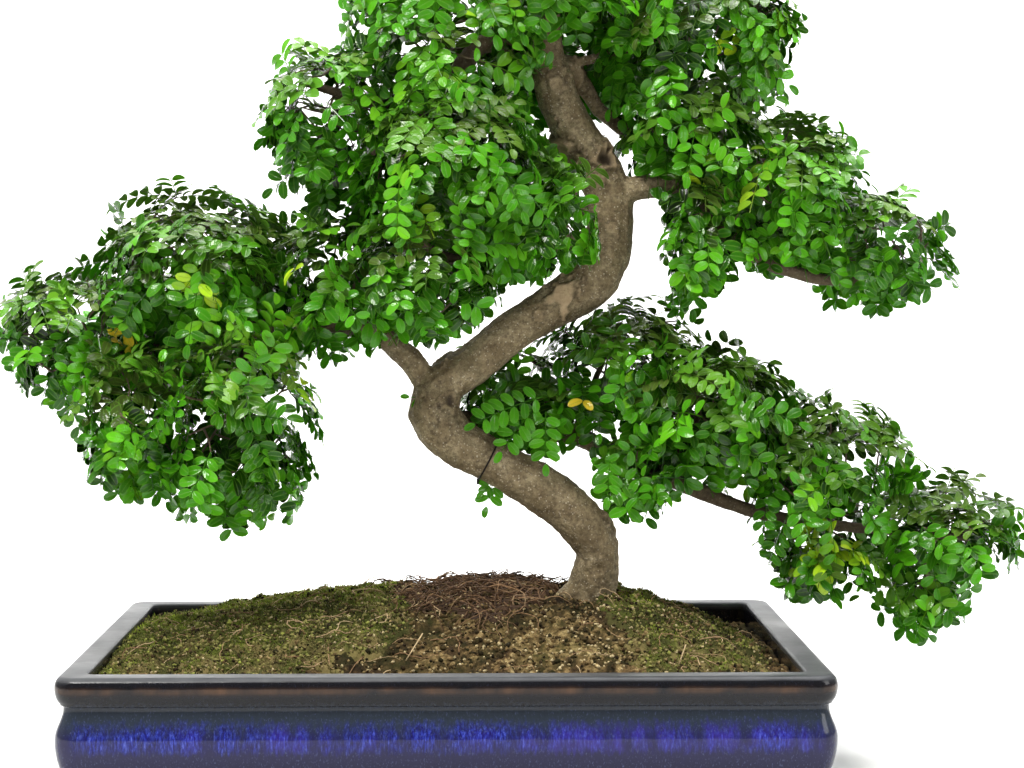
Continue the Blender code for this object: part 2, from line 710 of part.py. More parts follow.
class Pad:
    """A lumpy, rounded mass of leaves that keeps to its own side of every neighbour."""

    def __init__(self, name, centre, half):
        self.name = name
        self.centre = tree_point(centre)
        self.half = Vector(half) * MM * TREE_SCALE
        self.limits = []

    def reach(self, direction):
        """Distance from the middle to the smooth surface in a direction."""
        return 1 / math.sqrt(sum((direction[axis] / self.half[axis]) ** 2 for axis in range(3)))

    def lumpy_reach(self, direction):
        point = self.centre + direction * self.reach(direction)
        lump = noise.noise(point / (PAD_LUMP_SIZE * TREE_SCALE))
        reach = self.reach(direction) * (1 + PAD_LUMPINESS * lump)
        for normal, distance in self.limits:
            towards = direction.dot(normal)
            if towards * reach > distance:
                reach = distance / towards
        return reach

    def keep_clear_of(self, other):
        """Limit this pad to a plane that shares the overlap with its neighbour."""
        between = other.centre - self.centre
        normal = between.normalized()
        mine = self.reach(normal)
        share = mine / (mine + other.reach(normal))
        self.limits.append((normal, between.length * share - SEAT_GAP / 2))

    def mesh(self):
        work = bmesh.new()
        if max(self.half.x, self.half.z) < SMALL_PAD * TREE_SCALE:
            bmesh.ops.create_icosphere(work, subdivisions=1, radius=1.0)
        else:
            bmesh.ops.create_cube(work, size=2.0)
            bmesh.ops.subdivide_edges(work, edges=work.edges, cuts=PAD_DIVISIONS - 1,
                                      use_grid_fill=True)
        for corner in work.verts:
            direction = corner.co.normalized()
            corner.co = self.centre + direction * self.lumpy_reach(direction)
        bmesh.ops.triangulate(work, faces=work.faces)
        return finish_mesh(self.name, work, smooth_angle=80)


def boxes_meet(first, second):
    """Whether the boxes of two objects overlap, so that a cut between them can matter."""
    for axis in range(3):
        ranges = []
        for item in (first, second):
            values = [corner.co[axis] for corner in item.data.vertices]
            ranges.append((min(values), max(values)))
        if ranges[0][1] < ranges[1][0] or ranges[1][1] < ranges[0][0]:
            return False
    return True


def build_foliage(wood_cutters):
    pads = [Pad(name, centre, half) for name, (centre, half) in PADS.items()]
    for pad in pads:
        for other in pads:
            if other is not pad:
                pad.keep_clear_of(other)
    for pad in pads:
        leaves = add_object(pad.name, pad.mesh(), LEAF)
        for cutter in wood_cutters:
            if boxes_meet(leaves, cutter):
                add_boolean(leaves, cutter)
        keep_largest_body(leaves)


# ---------------------------------------------------------------- whole object


def stand_on_origin():
    """Move everything so that the origin lies under the middle of the whole object's box."""
    bpy.context.view_layer.update()
    depsgraph = bpy.context.evaluated_depsgraph_get()
    low = Vector((math.inf,) * 3)
    high = Vector((-math.inf,) * 3)
    for item in bpy.context.scene.objects:
        if item.hide_render:
            continue
        mesh = item.evaluated_get(depsgraph).to_mesh()
        for corner in mesh.vertices:
            for axis in range(3):
                low[axis] = min(low[axis], corner.co[axis])
                high[axis] = max(high[axis], corner.co[axis])
    shift = Matrix.Translation((-(low.x + high.x) / 2, -(low.y + high.y) / 2, -low.z))
    for item in bpy.context.scene.objects:
        item.matrix_world = shift @ item.matrix_world


def build():
    clear_scene()
    build_tray()
    build_screens()
    build_grit()
    trunk_stem, trunk_cutter, root_cutters = build_trunk()
    build_soil(root_cutters)
    wire_cutter = build_wire(trunk_stem)
    branch_cutters = build_branches(trunk_cutter)
    build_foliage([trunk_cutter, wire_cutter] + branch_cutters)
    stand_on_origin()


build()
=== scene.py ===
"""Looks of the bonsai: bark, leaves, moss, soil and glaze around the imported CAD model."""

import math
import random

import bmesh
import bpy
import numpy as np
from mathutils import Matrix, Vector, kdtree, noise
from mathutils.bvhtree import BVHTree


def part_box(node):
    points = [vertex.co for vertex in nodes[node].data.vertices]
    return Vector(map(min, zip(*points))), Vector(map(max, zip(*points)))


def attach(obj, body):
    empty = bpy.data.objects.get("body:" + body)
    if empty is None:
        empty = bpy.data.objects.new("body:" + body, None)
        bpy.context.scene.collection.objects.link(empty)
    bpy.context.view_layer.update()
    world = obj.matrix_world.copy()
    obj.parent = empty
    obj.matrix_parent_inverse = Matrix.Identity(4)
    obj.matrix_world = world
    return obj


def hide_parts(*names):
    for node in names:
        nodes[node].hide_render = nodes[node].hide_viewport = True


MM = 0.001
UP = Vector((0, 0, 1))
DOWN = -UP

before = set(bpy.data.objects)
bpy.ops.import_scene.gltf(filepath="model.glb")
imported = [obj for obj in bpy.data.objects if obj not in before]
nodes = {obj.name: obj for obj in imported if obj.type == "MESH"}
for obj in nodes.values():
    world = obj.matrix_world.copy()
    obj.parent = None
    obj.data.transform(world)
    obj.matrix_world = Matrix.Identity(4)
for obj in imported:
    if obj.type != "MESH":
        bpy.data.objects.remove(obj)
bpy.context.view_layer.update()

TRAY_LOW, TRAY_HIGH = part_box("pot")
TRAY_CENTRE = Vector(((TRAY_LOW.x + TRAY_HIGH.x) / 2, (TRAY_LOW.y + TRAY_HIGH.y) / 2, TRAY_LOW.z))
RIM_TOP = TRAY_HIGH.z
SOIL_LOW, SOIL_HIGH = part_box("soil")
PADS = sorted(name for name in nodes if name.startswith("foliage_"))
BRANCHES = sorted(name for name in nodes if name.startswith("branch_"))


def place(x, y, z):
    """A point given in millimetres from the middle of the tray's underside."""
    return TRAY_CENTRE + Vector((x, y, z)) * MM


def clamp(value):
    return min(1.0, max(0.0, value))


def bell(value, middle, width):
    return math.exp(-((value - middle) / width) ** 2)


def put(name, data):
    """A new object in the scene."""
    made = bpy.data.objects.new(name, data)
    bpy.context.scene.collection.objects.link(made)
    return made


# ---------------------------------------------------------------- materials


class Look:
    """A node material with a Principled shader, and short calls for the nodes that feed it."""

    def __init__(self, name, roughness=0.5, specular=0.5):
        self.material = bpy.data.materials.new(name)
        self.material.use_nodes = True
        self.tree = self.material.node_tree
        self.shader = self.tree.nodes["Principled BSDF"]
        self.output = self.tree.nodes["Material Output"]
        self.shader.inputs["Roughness"].default_value = roughness
        self.shader.inputs["Specular IOR Level"].default_value = specular

    def node(self, kind, **settings):
        made = self.tree.nodes.new(kind)
        for key, value in settings.items():
            setattr(made, key, value)
        return made

    def link(self, source, target):
        self.tree.links.new(source, target)

    def feed(self, socket, value):
        """Put a number, a colour or another node's output into a socket."""
        if isinstance(value, bpy.types.NodeSocket):
            self.link(value, socket)
        elif isinstance(value, (int, float)):
            socket.default_value = value
        elif len(value) == 3 and socket.type == "RGBA":
            socket.default_value = (*value, 1.0)
        else:
            socket.default_value = value

    def position(self, stretch=(1, 1, 1)):
        """Object coordinates in metres, stretched along each axis."""
        mapping = self.node("ShaderNodeMapping")
        mapping.inputs["Scale"].default_value = stretch
        self.link(self.node("ShaderNodeTexCoord").outputs["Object"], mapping.inputs["Vector"])
        return mapping.outputs["Vector"]

    def height(self):
        split = self.node("ShaderNodeSeparateXYZ")
        self.link(self.position(), split.inputs["Vector"])
        return split.outputs["Z"]

    def noise(self, size, detail=4.0, roughness=0.55, stretch=(1, 1, 1)):
        """Cloudy noise from 0 to 1 whose lumps are about size metres across."""
        made = self.node("ShaderNodeTexNoise")
        self.link(self.position(stretch), made.inputs["Vector"])
        made.inputs["Scale"].default_value = 1 / size
        made.inputs["Detail"].default_value = detail
        made.inputs["Roughness"].default_value = roughness
        return made.outputs["Fac"]

    def cells(self, size):
        """Distance from cell middles, with cells about size metres across."""
        made = self.node("ShaderNodeTexVoronoi")
        self.link(self.position(), made.inputs["Vector"])
        made.inputs["Scale"].default_value = 1 / size
        return made.outputs["Distance"]

    def channels(self, name):
        """The three channels of a stored colour."""
        split = self.node("ShaderNodeSeparateColor")
        stored = self.node("ShaderNodeAttribute", attribute_name=name)
        self.link(stored.outputs["Color"], split.inputs["Color"])
        return split.outputs["Red"], split.outputs["Green"], split.outputs["Blue"]

    def ramp(self, value, stops):
        """Colours or grey levels at places from 0 to 1."""
        made = self.node("ShaderNodeValToRGB")
        self.feed(made.inputs["Fac"], value)
        elements = made.color_ramp.elements
        while len(elements) < len(stops):
            elements.new(0.5)
        for element, (at, colour) in zip(elements, stops):
            element.position = at
            element.color = (colour,) * 3 + (1,) if isinstance(colour, (int, float)) else (*colour, 1)
        return made.outputs["Color"]

    def mix(self, share, first, second, blend="MIX"):
        made = self.node("ShaderNodeMix", data_type="RGBA", blend_type=blend)
        self.feed(made.inputs[0], share)
        self.feed(made.inputs[6], first)
        self.feed(made.inputs[7], second)
        return made.outputs[2]

    def sum(self, first, second, operation="ADD"):
        made = self.node("ShaderNodeMath", operation=operation)
        self.feed(made.inputs[0], first)
        self.feed(made.inputs[1], second)
        return made.outputs[0]

    def scale(self, value, factor):
        return self.sum(value, factor, "MULTIPLY")

    def times(self, first, second):
        """Two colours multiplied."""
        return self.mix(1.0, first, second, "MULTIPLY")

    def bump(self, value, depth, normal=None):
        made = self.node("ShaderNodeBump")
        made.inputs["Distance"].default_value = depth
        self.feed(made.inputs["Height"], value)
        if normal is not None:
            self.link(normal, made.inputs["Normal"])
        return made.outputs["Normal"]

    def finish(self, colour=None, roughness=None, normal=None):
        if colour is not None:
            self.feed(self.shader.inputs["Base Color"], colour)
        if roughness is not None:
            self.feed(self.shader.inputs["Roughness"], roughness)
        if normal is not None:
            self.link(normal, self.shader.inputs["Normal"])
        return self.material


def glaze_material():
    """Near-black glaze with a streaked cobalt band on the belly, brown where it thins."""
    look = Look("glaze", specular=0.28)
    brown, dust_and_sheen, bare = look.channels("wear_and_sheen")
    blue_here = look.channels("blue")[0]
    ragged = look.scale(look.noise(1.7 * MM, 4.0, stretch=(1, 1, 0.16)), 9 * MM)
    height = look.scale(look.sum(look.height(), ragged), 1 / RIM_TOP)
    base = look.ramp(height, ((0.30, (0.010, 0.011, 0.030)), (0.50, (0.016, 0.015, 0.055)),
                              (0.58, (0.012, 0.010, 0.050)), (0.74, (0.022, 0.030, 0.042)),
                              (0.84, (0.018, 0.022, 0.030)), (0.88, (0.006, 0.006, 0.008))))
    band = look.ramp(height, ((0.50, 0.0), (0.555, 0.85), (0.64, 1.0), (0.69, 0.55), (0.76, 0.0)))
    streaks = look.noise(1.1 * MM, 6.0, 0.7, stretch=(1, 1, 0.20))
    cobalt = look.ramp(streaks, ((0.36, (0.006, 0.005, 0.050)), (0.47, (0.012, 0.013, 0.160)),
                                 (0.57, (0.026, 0.044, 0.340)), (0.70, (0.120, 0.160, 0.640))))
    violet = look.ramp(look.noise(70 * MM, 2.0), ((0.42, 0.0), (0.62, 0.6)))
    cobalt = look.mix(violet, cobalt, (0.050, 0.030, 0.260))
    runs = look.ramp(look.noise(9 * MM, 4.0, stretch=(1, 1, 0.30)), ((0.36, 0.10), (0.58, 1.0)))
    strength = look.times(look.times(band, runs), blue_here)
    colour = look.mix(strength, base, cobalt)
    flecks = look.ramp(look.noise(0.75 * MM, 3.0, 0.6, stretch=(1, 1, 0.45)), ((0.58, 0.0), (0.70, 1.0)))
    low = look.ramp(height, ((0.40, 0.75), (0.52, 0.45), (0.70, 0.50), (0.80, 0.35), (0.90, 0.06)))
    colour = look.mix(look.times(flecks, low), colour, (0.075, 0.095, 0.200))
    tan = look.mix(look.noise(5 * MM, 3.0, stretch=(1, 1, 0.3)), (0.020, 0.012, 0.006),
                   (0.150, 0.070, 0.030))
    colour = look.mix(brown, colour, tan)
    # Rim top: a lighter grey, partly real dusting and partly a painted sheen, and rougher.
    dust_sheen_tone = look.mix(look.noise(9 * MM, 5.0, stretch=(1, 0.4, 1)), (0.030, 0.032, 0.037),
                     (0.115, 0.118, 0.125))
    colour = look.mix(dust_and_sheen, colour, dust_sheen_tone)
    shine = look.ramp(look.noise(20 * MM, 4.0), ((0.3, 0.08), (0.7, 0.16)))
    rough = look.mix(dust_and_sheen, shine, (0.52, 0.52, 0.52))
    clay = look.mix(look.noise(2 * MM, 5.0), (0.17, 0.085, 0.05), (0.30, 0.17, 0.11))
    colour = look.mix(bare, colour, clay)
    rough = look.mix(bare, rough, (0.9, 0.9, 0.9))
    normal = look.bump(look.noise(14 * MM, 3.0), 0.30 * MM)
    normal = look.bump(look.noise(1.4 * MM, 2.0, stretch=(1, 1, 0.4)), 0.025 * MM, normal)
    return look.finish(colour, rough, normal)


def bark_material():
    """Grey-tan bark: pale specks, dark mottling, tan scars, and painted shade in the pits and round the
    marks' lips, from the mesh.
    """
    look = Look("bark", roughness=0.75, specular=0.3)
    colour = look.ramp(look.noise(11 * MM, 7.0, 0.68),
                       ((0.30, (0.120, 0.085, 0.040)), (0.46, (0.235, 0.178, 0.095)),
                        (0.58, (0.330, 0.262, 0.150)), (0.74, (0.450, 0.372, 0.225))))
    mottle = look.ramp(look.noise(2.2 * MM, 7.0, 0.75), ((0.40, 1.0), (0.55, 0.0)))
    colour = look.mix(look.scale(mottle, 0.68), colour, (0.080, 0.056, 0.032))
    specks = look.ramp(look.cells(1.7 * MM), ((0.12, 1.0), (0.32, 0.0)))
    gate = look.ramp(look.noise(4 * MM, 3.0), ((0.44, 0.0), (0.58, 1.0)))
    specks = look.times(specks, gate)
    colour = look.mix(look.scale(specks, 0.80), colour, (0.66, 0.58, 0.43))
    green = look.ramp(look.noise(28 * MM, 3.0), ((0.55, 0.0), (0.75, 0.35)))
    colour = look.mix(green, colour, (0.120, 0.110, 0.050))
    twig, scar, hollow = look.channels("wood")
    colour = look.mix(look.scale(twig, 0.75), colour, (0.050, 0.034, 0.020))
    tan = look.mix(look.noise(1.6 * MM, 5.0), (0.33, 0.22, 0.11), (0.62, 0.48, 0.30))
    colour = look.mix(scar, colour, tan)
    # Painted shade: the blue channel darkens deep pits and a crease round each mark's lip.
    colour = look.mix(hollow, colour, (0.030, 0.020, 0.012))
    wrinkles = look.noise(1.3 * MM, 8.0, 0.72)
    normal = look.bump(look.noise(5 * MM, 6.0, 0.65), 1.0 * MM)
    normal = look.bump(wrinkles, 0.45 * MM, normal)
    normal = look.bump(specks, 0.15 * MM, normal)
    return look.finish(colour, look.ramp(wrinkles, ((0.3, 0.88), (0.7, 0.62))), normal)


def leaf_material():
    """Glossy leaflets. Red: age from dark to lime. Green: painted light and shade, dark deep in the pads
    and underneath. Blue: a painted olive glow on top-facing fronds, then real yellow.
    """
    look = Look("leaf", roughness=0.14, specular=0.34)
    age, bright, top_glow_and_yellowing = look.channels("tint")
    colour = look.ramp(age, ((0.0, (0.018, 0.088, 0.004)), (0.35, (0.040, 0.205, 0.005)),
                             (0.65, (0.085, 0.350, 0.008)), (0.85, (0.200, 0.460, 0.014)),
                             (1.0, (0.480, 0.660, 0.020))))
    # Painted shade and light: the green channel darkens leaflets deep in the pads and lightens those at
    # the surface.
    shade = look.ramp(bright, ((0.0, 0.12), (0.5, 0.70), (1.0, 1.55)))
    colour = look.times(colour, shade)
    # Painted light: the olive tint on top-facing fronds stands for light through them; the highest
    # values are real yellow leaves.
    faded = look.ramp(top_glow_and_yellowing, ((0.0, 0.0), (0.45, 0.70), (0.9, 1.0)))
    fading = look.ramp(top_glow_and_yellowing, ((0.45, (0.150, 0.225, 0.040)), (0.9, (0.760, 0.560, 0.030))))
    colour = look.mix(faded, colour, fading)
    blade = look.channels("blade")
    vein = look.ramp(blade[0], ((0.0, 1.0), (0.10, 0.35), (0.2, 0.0)))
    colour = look.mix(look.scale(vein, 0.40), colour, (0.17, 0.36, 0.04))
    # Painted light: a lighter rim along each leaflet's edge, for light through the thin edge.
    edge = look.ramp(blade[0], ((0.72, 0.0), (1.0, 1.0)))
    colour = look.mix(look.scale(edge, 0.50), colour, (0.17, 0.42, 0.03))
    side = look.sum(look.scale(blade[1], 42.0), look.scale(blade[0], 7.0), "SUBTRACT")
    normal = look.bump(look.sum(side, 0.0, "SINE"), 0.02 * MM)
    normal = look.bump(vein, -0.10 * MM, normal)
    rough = look.ramp(look.noise(6 * MM, 2.0), ((0.3, 0.09), (0.7, 0.20)))
    material = look.finish(colour, rough, normal)
    glow = look.node("ShaderNodeBsdfTranslucent")
    look.link(look.mix(0.5, colour, (0.20, 0.46, 0.01)), glow.inputs["Color"])
    both = look.node("ShaderNodeMixShader")
    both.inputs[0].default_value = 0.18
    look.link(look.shader.outputs[0], both.inputs[1])
    look.link(glow.outputs[0], both.inputs[2])
    look.link(both.outputs[0], look.output.inputs["Surface"])
    return material


def soil_material():
    """Dark crumbly soil with tan, ochre and grey grains, tinted by a stored colour that also holds
    painted shade in the hollows.
    """
    look = Look("soil", roughness=0.95, specular=0.15)
    kind, light, hollow_shade = look.channels("grain")
    colour = look.ramp(kind, ((0.0, (0.020, 0.013, 0.007)), (0.3, (0.075, 0.046, 0.021)),
                              (0.55, (0.200, 0.130, 0.055)), (0.8, (0.430, 0.310, 0.140)),
                              (1.0, (0.740, 0.600, 0.340))))
    fine = look.ramp(look.noise(1.6 * MM, 6.0, 0.75), ((0.32, 0.18), (0.5, 0.85), (0.68, 1.7)))
    colour = look.times(colour, fine)
    # Painted shade: darker where the soil lies in a hollow.
    colour = look.mix(look.scale(hollow_shade, 0.75), colour, (0.012, 0.010, 0.006))
    colour = look.mix(look.scale(light, 0.5), colour, (0.085, 0.100, 0.020))
    normal = look.bump(look.noise(0.9 * MM, 6.0, 0.75), 0.9 * MM)
    return look.finish(colour, None, normal)


def moss_material():
    """Moss from olive brown to bright green, by a stored colour."""
    look = Look("moss", roughness=0.9, specular=0.15)
    age, light, dry = look.channels("grain")
    colour = look.ramp(age, ((0.0, (0.020, 0.022, 0.005)), (0.35, (0.070, 0.092, 0.010)),
                             (0.65, (0.155, 0.220, 0.016)), (1.0, (0.380, 0.480, 0.040))))
    fine = look.ramp(look.noise(1.8 * MM, 5.0, 0.75), ((0.32, 0.25), (0.5, 0.95), (0.68, 1.6)))
    colour = look.times(colour, fine)
    dead = look.mix(look.noise(3 * MM, 4.0), (0.06, 0.038, 0.016), (0.36, 0.27, 0.11))
    colour = look.mix(dry, colour, dead)
    colour = look.mix(look.scale(light, 0.4), colour, (0.46, 0.46, 0.14))
    normal = look.bump(look.noise(0.9 * MM, 5.0, 0.7), 0.9 * MM)
    return look.finish(colour, None, normal)


def root_material():
    """Fibrous roots: red-brown to pale straw, by a stored colour; its blue channel darkens each fibre at
    random and gives the mat's cushion painted shade.
    """
    look = Look("root_fibre", roughness=0.8, specular=0.25)
    pale, _, dark = look.channels("grain")
    colour = look.ramp(pale, ((0.0, (0.040, 0.022, 0.012)), (0.4, (0.120, 0.066, 0.034)),
                              (0.7, (0.310, 0.180, 0.090)), (1.0, (0.640, 0.480, 0.270))))
    fine = look.ramp(look.noise(1.0 * MM, 4.0), ((0.3, 0.65), (0.7, 1.3)))
    colour = look.times(colour, fine)
    # Darker at random on fibres, and painted shade on the cushion under the mat.
    colour = look.mix(look.scale(dark, 0.7), colour, (0.014, 0.009, 0.006))
    normal = look.bump(look.noise(0.7 * MM, 3.0), 0.2 * MM)
    return look.finish(colour, None, normal)


def plain_material(name, dark, light, grain, roughness, depth, metallic=0.0):
    """Two close tones in a fine grain, for the wire, the screens and the grit."""
    look = Look(name, roughness=roughness)
    look.shader.inputs["Metallic"].default_value = metallic
    cloud = look.noise(grain, 5.0)
    return look.finish(look.ramp(cloud, ((0.3, dark), (0.7, light))), None,
                       look.bump(cloud, depth))


# ---------------------------------------------------------------- mesh building


class Batch:
    """Collects many small shapes, with stored colours, into one mesh."""

    def __init__(self, *layers):
        self.points = []
        self.faces = []
        self.layers = {name: [] for name in layers}
        self.count = 0

    def add(self, points, faces, **colours):
        points = np.asarray(points, dtype=np.float32)
        self.points.append(points)
        self.faces.append(np.asarray(faces, dtype=np.int32) + self.count)
        for name, store in self.layers.items():
            value = np.asarray(colours[name], dtype=np.float32)
            store.append(np.broadcast_to(value, (len(points), 3)))
        self.count += len(points)

    def build(self, name, material):
        """One smooth object of all that was added."""
        points = np.concatenate(self.points)
        faces = np.concatenate(self.faces)
        mesh = bpy.data.meshes.new(name)
        mesh.vertices.add(len(points))
        mesh.vertices.foreach_set("co", points.ravel())
        mesh.loops.add(faces.size)
        mesh.loops.foreach_set("vertex_index", faces.ravel())
        mesh.polygons.add(len(faces))
        starts = np.arange(len(faces), dtype=np.int32) * 3
        mesh.polygons.foreach_set("loop_start", starts)
        mesh.polygons.foreach_set("use_smooth", np.ones(len(faces), bool))
        mesh.update(calc_edges=True)
        for layer, store in self.layers.items():
            store_colour(mesh, layer, np.concatenate(store))
        mesh.materials.append(material)
        return put(name, mesh)


def store_colour(mesh, name, colours):
    attribute = mesh.color_attributes.new(name, "FLOAT_COLOR", "POINT")
    values = np.ones((len(mesh.vertices), 4), dtype=np.float32)
    values[:, :3] = colours
    attribute.data.foreach_set("color", values.ravel())


def read_points(mesh):
    points = np.empty(len(mesh.vertices) * 3, dtype=np.float32)
    mesh.vertices.foreach_get("co", points)
    return points.reshape(-1, 3)


def add_piece(name, mesh, material, replaced):
    """Put a finished piece in the scene, riding on the one body."""
    mesh.materials.clear()
    mesh.materials.append(material)
    declare(put(name, mesh), replaced)


def declare(piece, replaced=()):
    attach(piece, "root")
    if replaced:
        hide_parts(*replaced)


def apply_modifiers(piece):
    bpy.context.view_layer.update()
    evaluated = piece.evaluated_get(bpy.context.evaluated_depsgraph_get())
    mesh = bpy.data.meshes.new_from_object(evaluated)
    piece.modifiers.clear()
    return mesh


def tube(points, radii, sides):
    """Closed tube of triangles round a row of points."""
    points = [Vector(point) for point in points]
    across = None
    rings = []
    for index, point in enumerate(points):
        ahead = points[min(index + 1, len(points) - 1)]
        behind = points[max(index - 1, 0)]
        along = (ahead - behind).normalized()
        if across is None:
            across = along.orthogonal()
        across = (across - along * across.dot(along)).normalized()
        over = along.cross(across)
        for side in range(sides):
            angle = math.tau * side / sides
            rings.append(point + radii[index] * (math.cos(angle) * across + math.sin(angle) * over))
    faces = []
    for index in range(len(points) - 1):
        low = index * sides
        for side in range(sides):
            after = (side + 1) % sides
            faces.append((low + side, low + after, low + sides + after))
            faces.append((low + side, low + sides + after, low + sides + side))
    last = (len(points) - 1) * sides
    for side in range(1, sides - 1):
        faces.append((0, side + 1, side))
        faces.append((last, last + side, last + side + 1))
    return rings, faces


def clouds(point, size, octaves=4):
    """Sum of noise octaves, about -1 to 1, with lumps about size metres across."""
    return noise.fractal(Vector(point) / size, 1.0, 2.0, octaves)


# ---------------------------------------------------------------- tray

RIM_WIDTH = 16 * MM
LIP_HEIGHT = 14.7 * MM
LIP_WIDEST_DROP = 6 * MM
LIP_ROUNDING = 4.5 * MM
INNER_EDGE = 1.5 * MM
NECK_INSET = 4.5 * MM
NECK_FILLET = 1.6 * MM
BELLY_WIDEST = 37.5 * MM
UNDERSIDE_INSET = 16 * MM
FOOT_HEIGHT = 10 * MM
FOOT_INSET = 1 * MM
FOOT_ARM = 70 * MM
FOOT_WIDTH = 18 * MM
FLOOR_TOP = 17 * MM
TRAY_CORNER = 12 * MM
INNER_CORNER = 5 * MM
CORNER_STEPS = 10
SIDE_STEP = 6 * MM
DRAIN_SIDES = 48
DRAIN_RADIUS = 12.5 * MM
DRAIN_X = 90 * MM
HALF_X = (TRAY_HIGH.x - TRAY_LOW.x) / 2
HALF_Y = (TRAY_HIGH.y - TRAY_LOW.y) / 2


def quarter(steps, skip=0):
    """Angles of a quarter turn in even steps, without the first few."""
    return [math.pi / 2 * step / steps for step in range(skip, steps + 1)]


def tray_section():
    """Inset and height of the tray's section, from the underside over the lip to the floor."""
    neck_z = RIM_TOP - LIP_HEIGHT
    lip_z = RIM_TOP - LIP_WIDEST_DROP
    section = [(UNDERSIDE_INSET * (1 - math.sin(turn)),
                FOOT_HEIGHT + (BELLY_WIDEST - FOOT_HEIGHT) * (1 - math.cos(turn)))
               for turn in quarter(12)]
    belly_top = neck_z - NECK_FILLET
    section += [(NECK_INSET * math.sin(turn) ** 2,
                 BELLY_WIDEST + (belly_top - BELLY_WIDEST) * turn / (math.pi / 2))
                for turn in quarter(12, 1)]
    section += [(NECK_INSET - NECK_FILLET * (1 - math.cos(turn)),
                 belly_top + NECK_FILLET * math.sin(turn))
                for turn in quarter(4, 1)]
    section += [(NECK_INSET * (1 - math.sin(turn)), neck_z + (lip_z - neck_z) * (1 - math.cos(turn)))
                for turn in quarter(10, 3)]
    section += [(LIP_ROUNDING * (1 - math.cos(turn)), lip_z + LIP_WIDEST_DROP * math.sin(turn))
                for turn in quarter(12, 1)]
    section += [(RIM_WIDTH - INNER_EDGE * (1 - math.sin(turn)),
                 RIM_TOP - INNER_EDGE * (1 - math.cos(turn)))
                for turn in quarter(4)]
    section += [(RIM_WIDTH, RIM_TOP - 5 * MM), (RIM_WIDTH, FLOOR_TOP + 2 * MM),
                (RIM_WIDTH + 2 * MM, FLOOR_TOP)]
    return section


def rounded_loop(half_x, half_y, corner):
    """Points of a rounded rectangle about the tray's middle."""
    signs = ((1, 1), (-1, 1), (-1, -1), (1, -1))
    side_steps = (round(2 * HALF_X / SIDE_STEP), round(2 * HALF_Y / SIDE_STEP))
    points = []
    for number, (sign_x, sign_y) in enumerate(signs):
        centre = Vector((sign_x * (half_x - corner), sign_y * (half_y - corner)))
        for step in range(CORNER_STEPS + 1):
            angle = math.pi / 2 * (number + step / CORNER_STEPS)
            points.append(centre + corner * Vector((math.cos(angle), math.sin(angle))))
        start = points[-1]
        end = Vector((signs[(number + 1) % 4][0] * (half_x - corner),
                      signs[(number + 1) % 4][1] * (half_y - corner)))
        end += corner * Vector((math.cos(angle), math.sin(angle)))
        steps = side_steps[number % 2]
        points += [start.lerp(end, step / steps) for step in range(1, steps)]
    return points


def loft(loops):
    """Closed mesh through loops of points, in the tray's own middle frame."""
    work = bmesh.new()
    rings = [[work.verts.new(TRAY_CENTRE + Vector(point)) for point in loop] for loop in loops]
    for lower, upper in zip(rings, rings[1:]):
        for index in range(len(lower)):
            after = (index + 1) % len(lower)
            work.faces.new((lower[index], lower[after], upper[after], upper[index]))
    work.faces.new(list(reversed(rings[0])))
    work.faces.new(rings[-1])
    bmesh.ops.recalc_face_normals(work, faces=work.faces)
    return work


def blank_object(name, work):
    mesh = bpy.data.meshes.new(name)
    work.to_mesh(mesh)
    work.free()
    return put(name, mesh)


def foot_blank(sign_x, sign_y):
    """L-shaped corner foot with softened edges, reaching into the floor."""
    x, y = HALF_X - UNDERSIDE_INSET - FOOT_INSET, HALF_Y - UNDERSIDE_INSET - FOOT_INSET
    outline = ((x, y), (x - FOOT_ARM, y), (x - FOOT_ARM, y - FOOT_WIDTH),
               (x - FOOT_WIDTH, y - FOOT_WIDTH), (x - FOOT_WIDTH, y - FOOT_ARM), (x, y - FOOT_ARM))
    work = loft([[(sign_x * x, sign_y * y, z) for x, y in outline] for z in (0.0, FOOT_HEIGHT + 3 * MM)])
    bmesh.ops.bevel(work, geom=list(work.edges), offset=1.6 * MM, segments=3, affect="EDGES")
    return blank_object("foot_blank", work)


def drain_blank(sign_x):
    turns = [math.tau * side / DRAIN_SIDES for side in range(DRAIN_SIDES)]
    ring = [(sign_x * DRAIN_X + DRAIN_RADIUS * math.cos(turn), DRAIN_RADIUS * math.sin(turn))
            for turn in turns]
    return blank_object("drain_blank", loft([[(x, y, z) for x, y in ring]
                                             for z in (FOOT_HEIGHT - 6 * MM, FLOOR_TOP + 6 * MM)]))


def tray_wear_and_sheen(point):
    """How brown the glaze is at a point, how grey on the rim top (a dusting that is partly a painted
    sheen), how bare, and how strong its blue.
    """
    x, y, z = point - TRAY_CENTRE
    gap_x, gap_y = HALF_X - abs(x), HALF_Y - abs(y)
    inset, corner = min(gap_x, gap_y), max(gap_x, gap_y)
    patchy = clouds(point, 16 * MM)
    brown = (inset < 6 * MM) * bell(z, RIM_TOP - 6.6 * MM, 1.5 * MM) * (0.45 + 0.9 * patchy)
    # The rim top's lighter grey is partly real dusting and partly a painted sheen.
    on_top = clamp((z - RIM_TOP + 3.2 * MM) / (2.2 * MM)) * (inset > 1.2 * MM)
    dust_and_sheen = on_top * (0.75 + 0.3 * clouds(point, 30 * MM))
    under_floor = inset > UNDERSIDE_INSET + 4 * MM and z < FLOOR_TOP - 2 * MM
    bare = 1.0 if z < 4 * MM or under_floor else 0.0
    blue = clamp((corner - 7 * MM) / (9 * MM)) if inset < 12 * MM else 0.0
    return (brown, dust_and_sheen, bare), (blue, 0, 0)


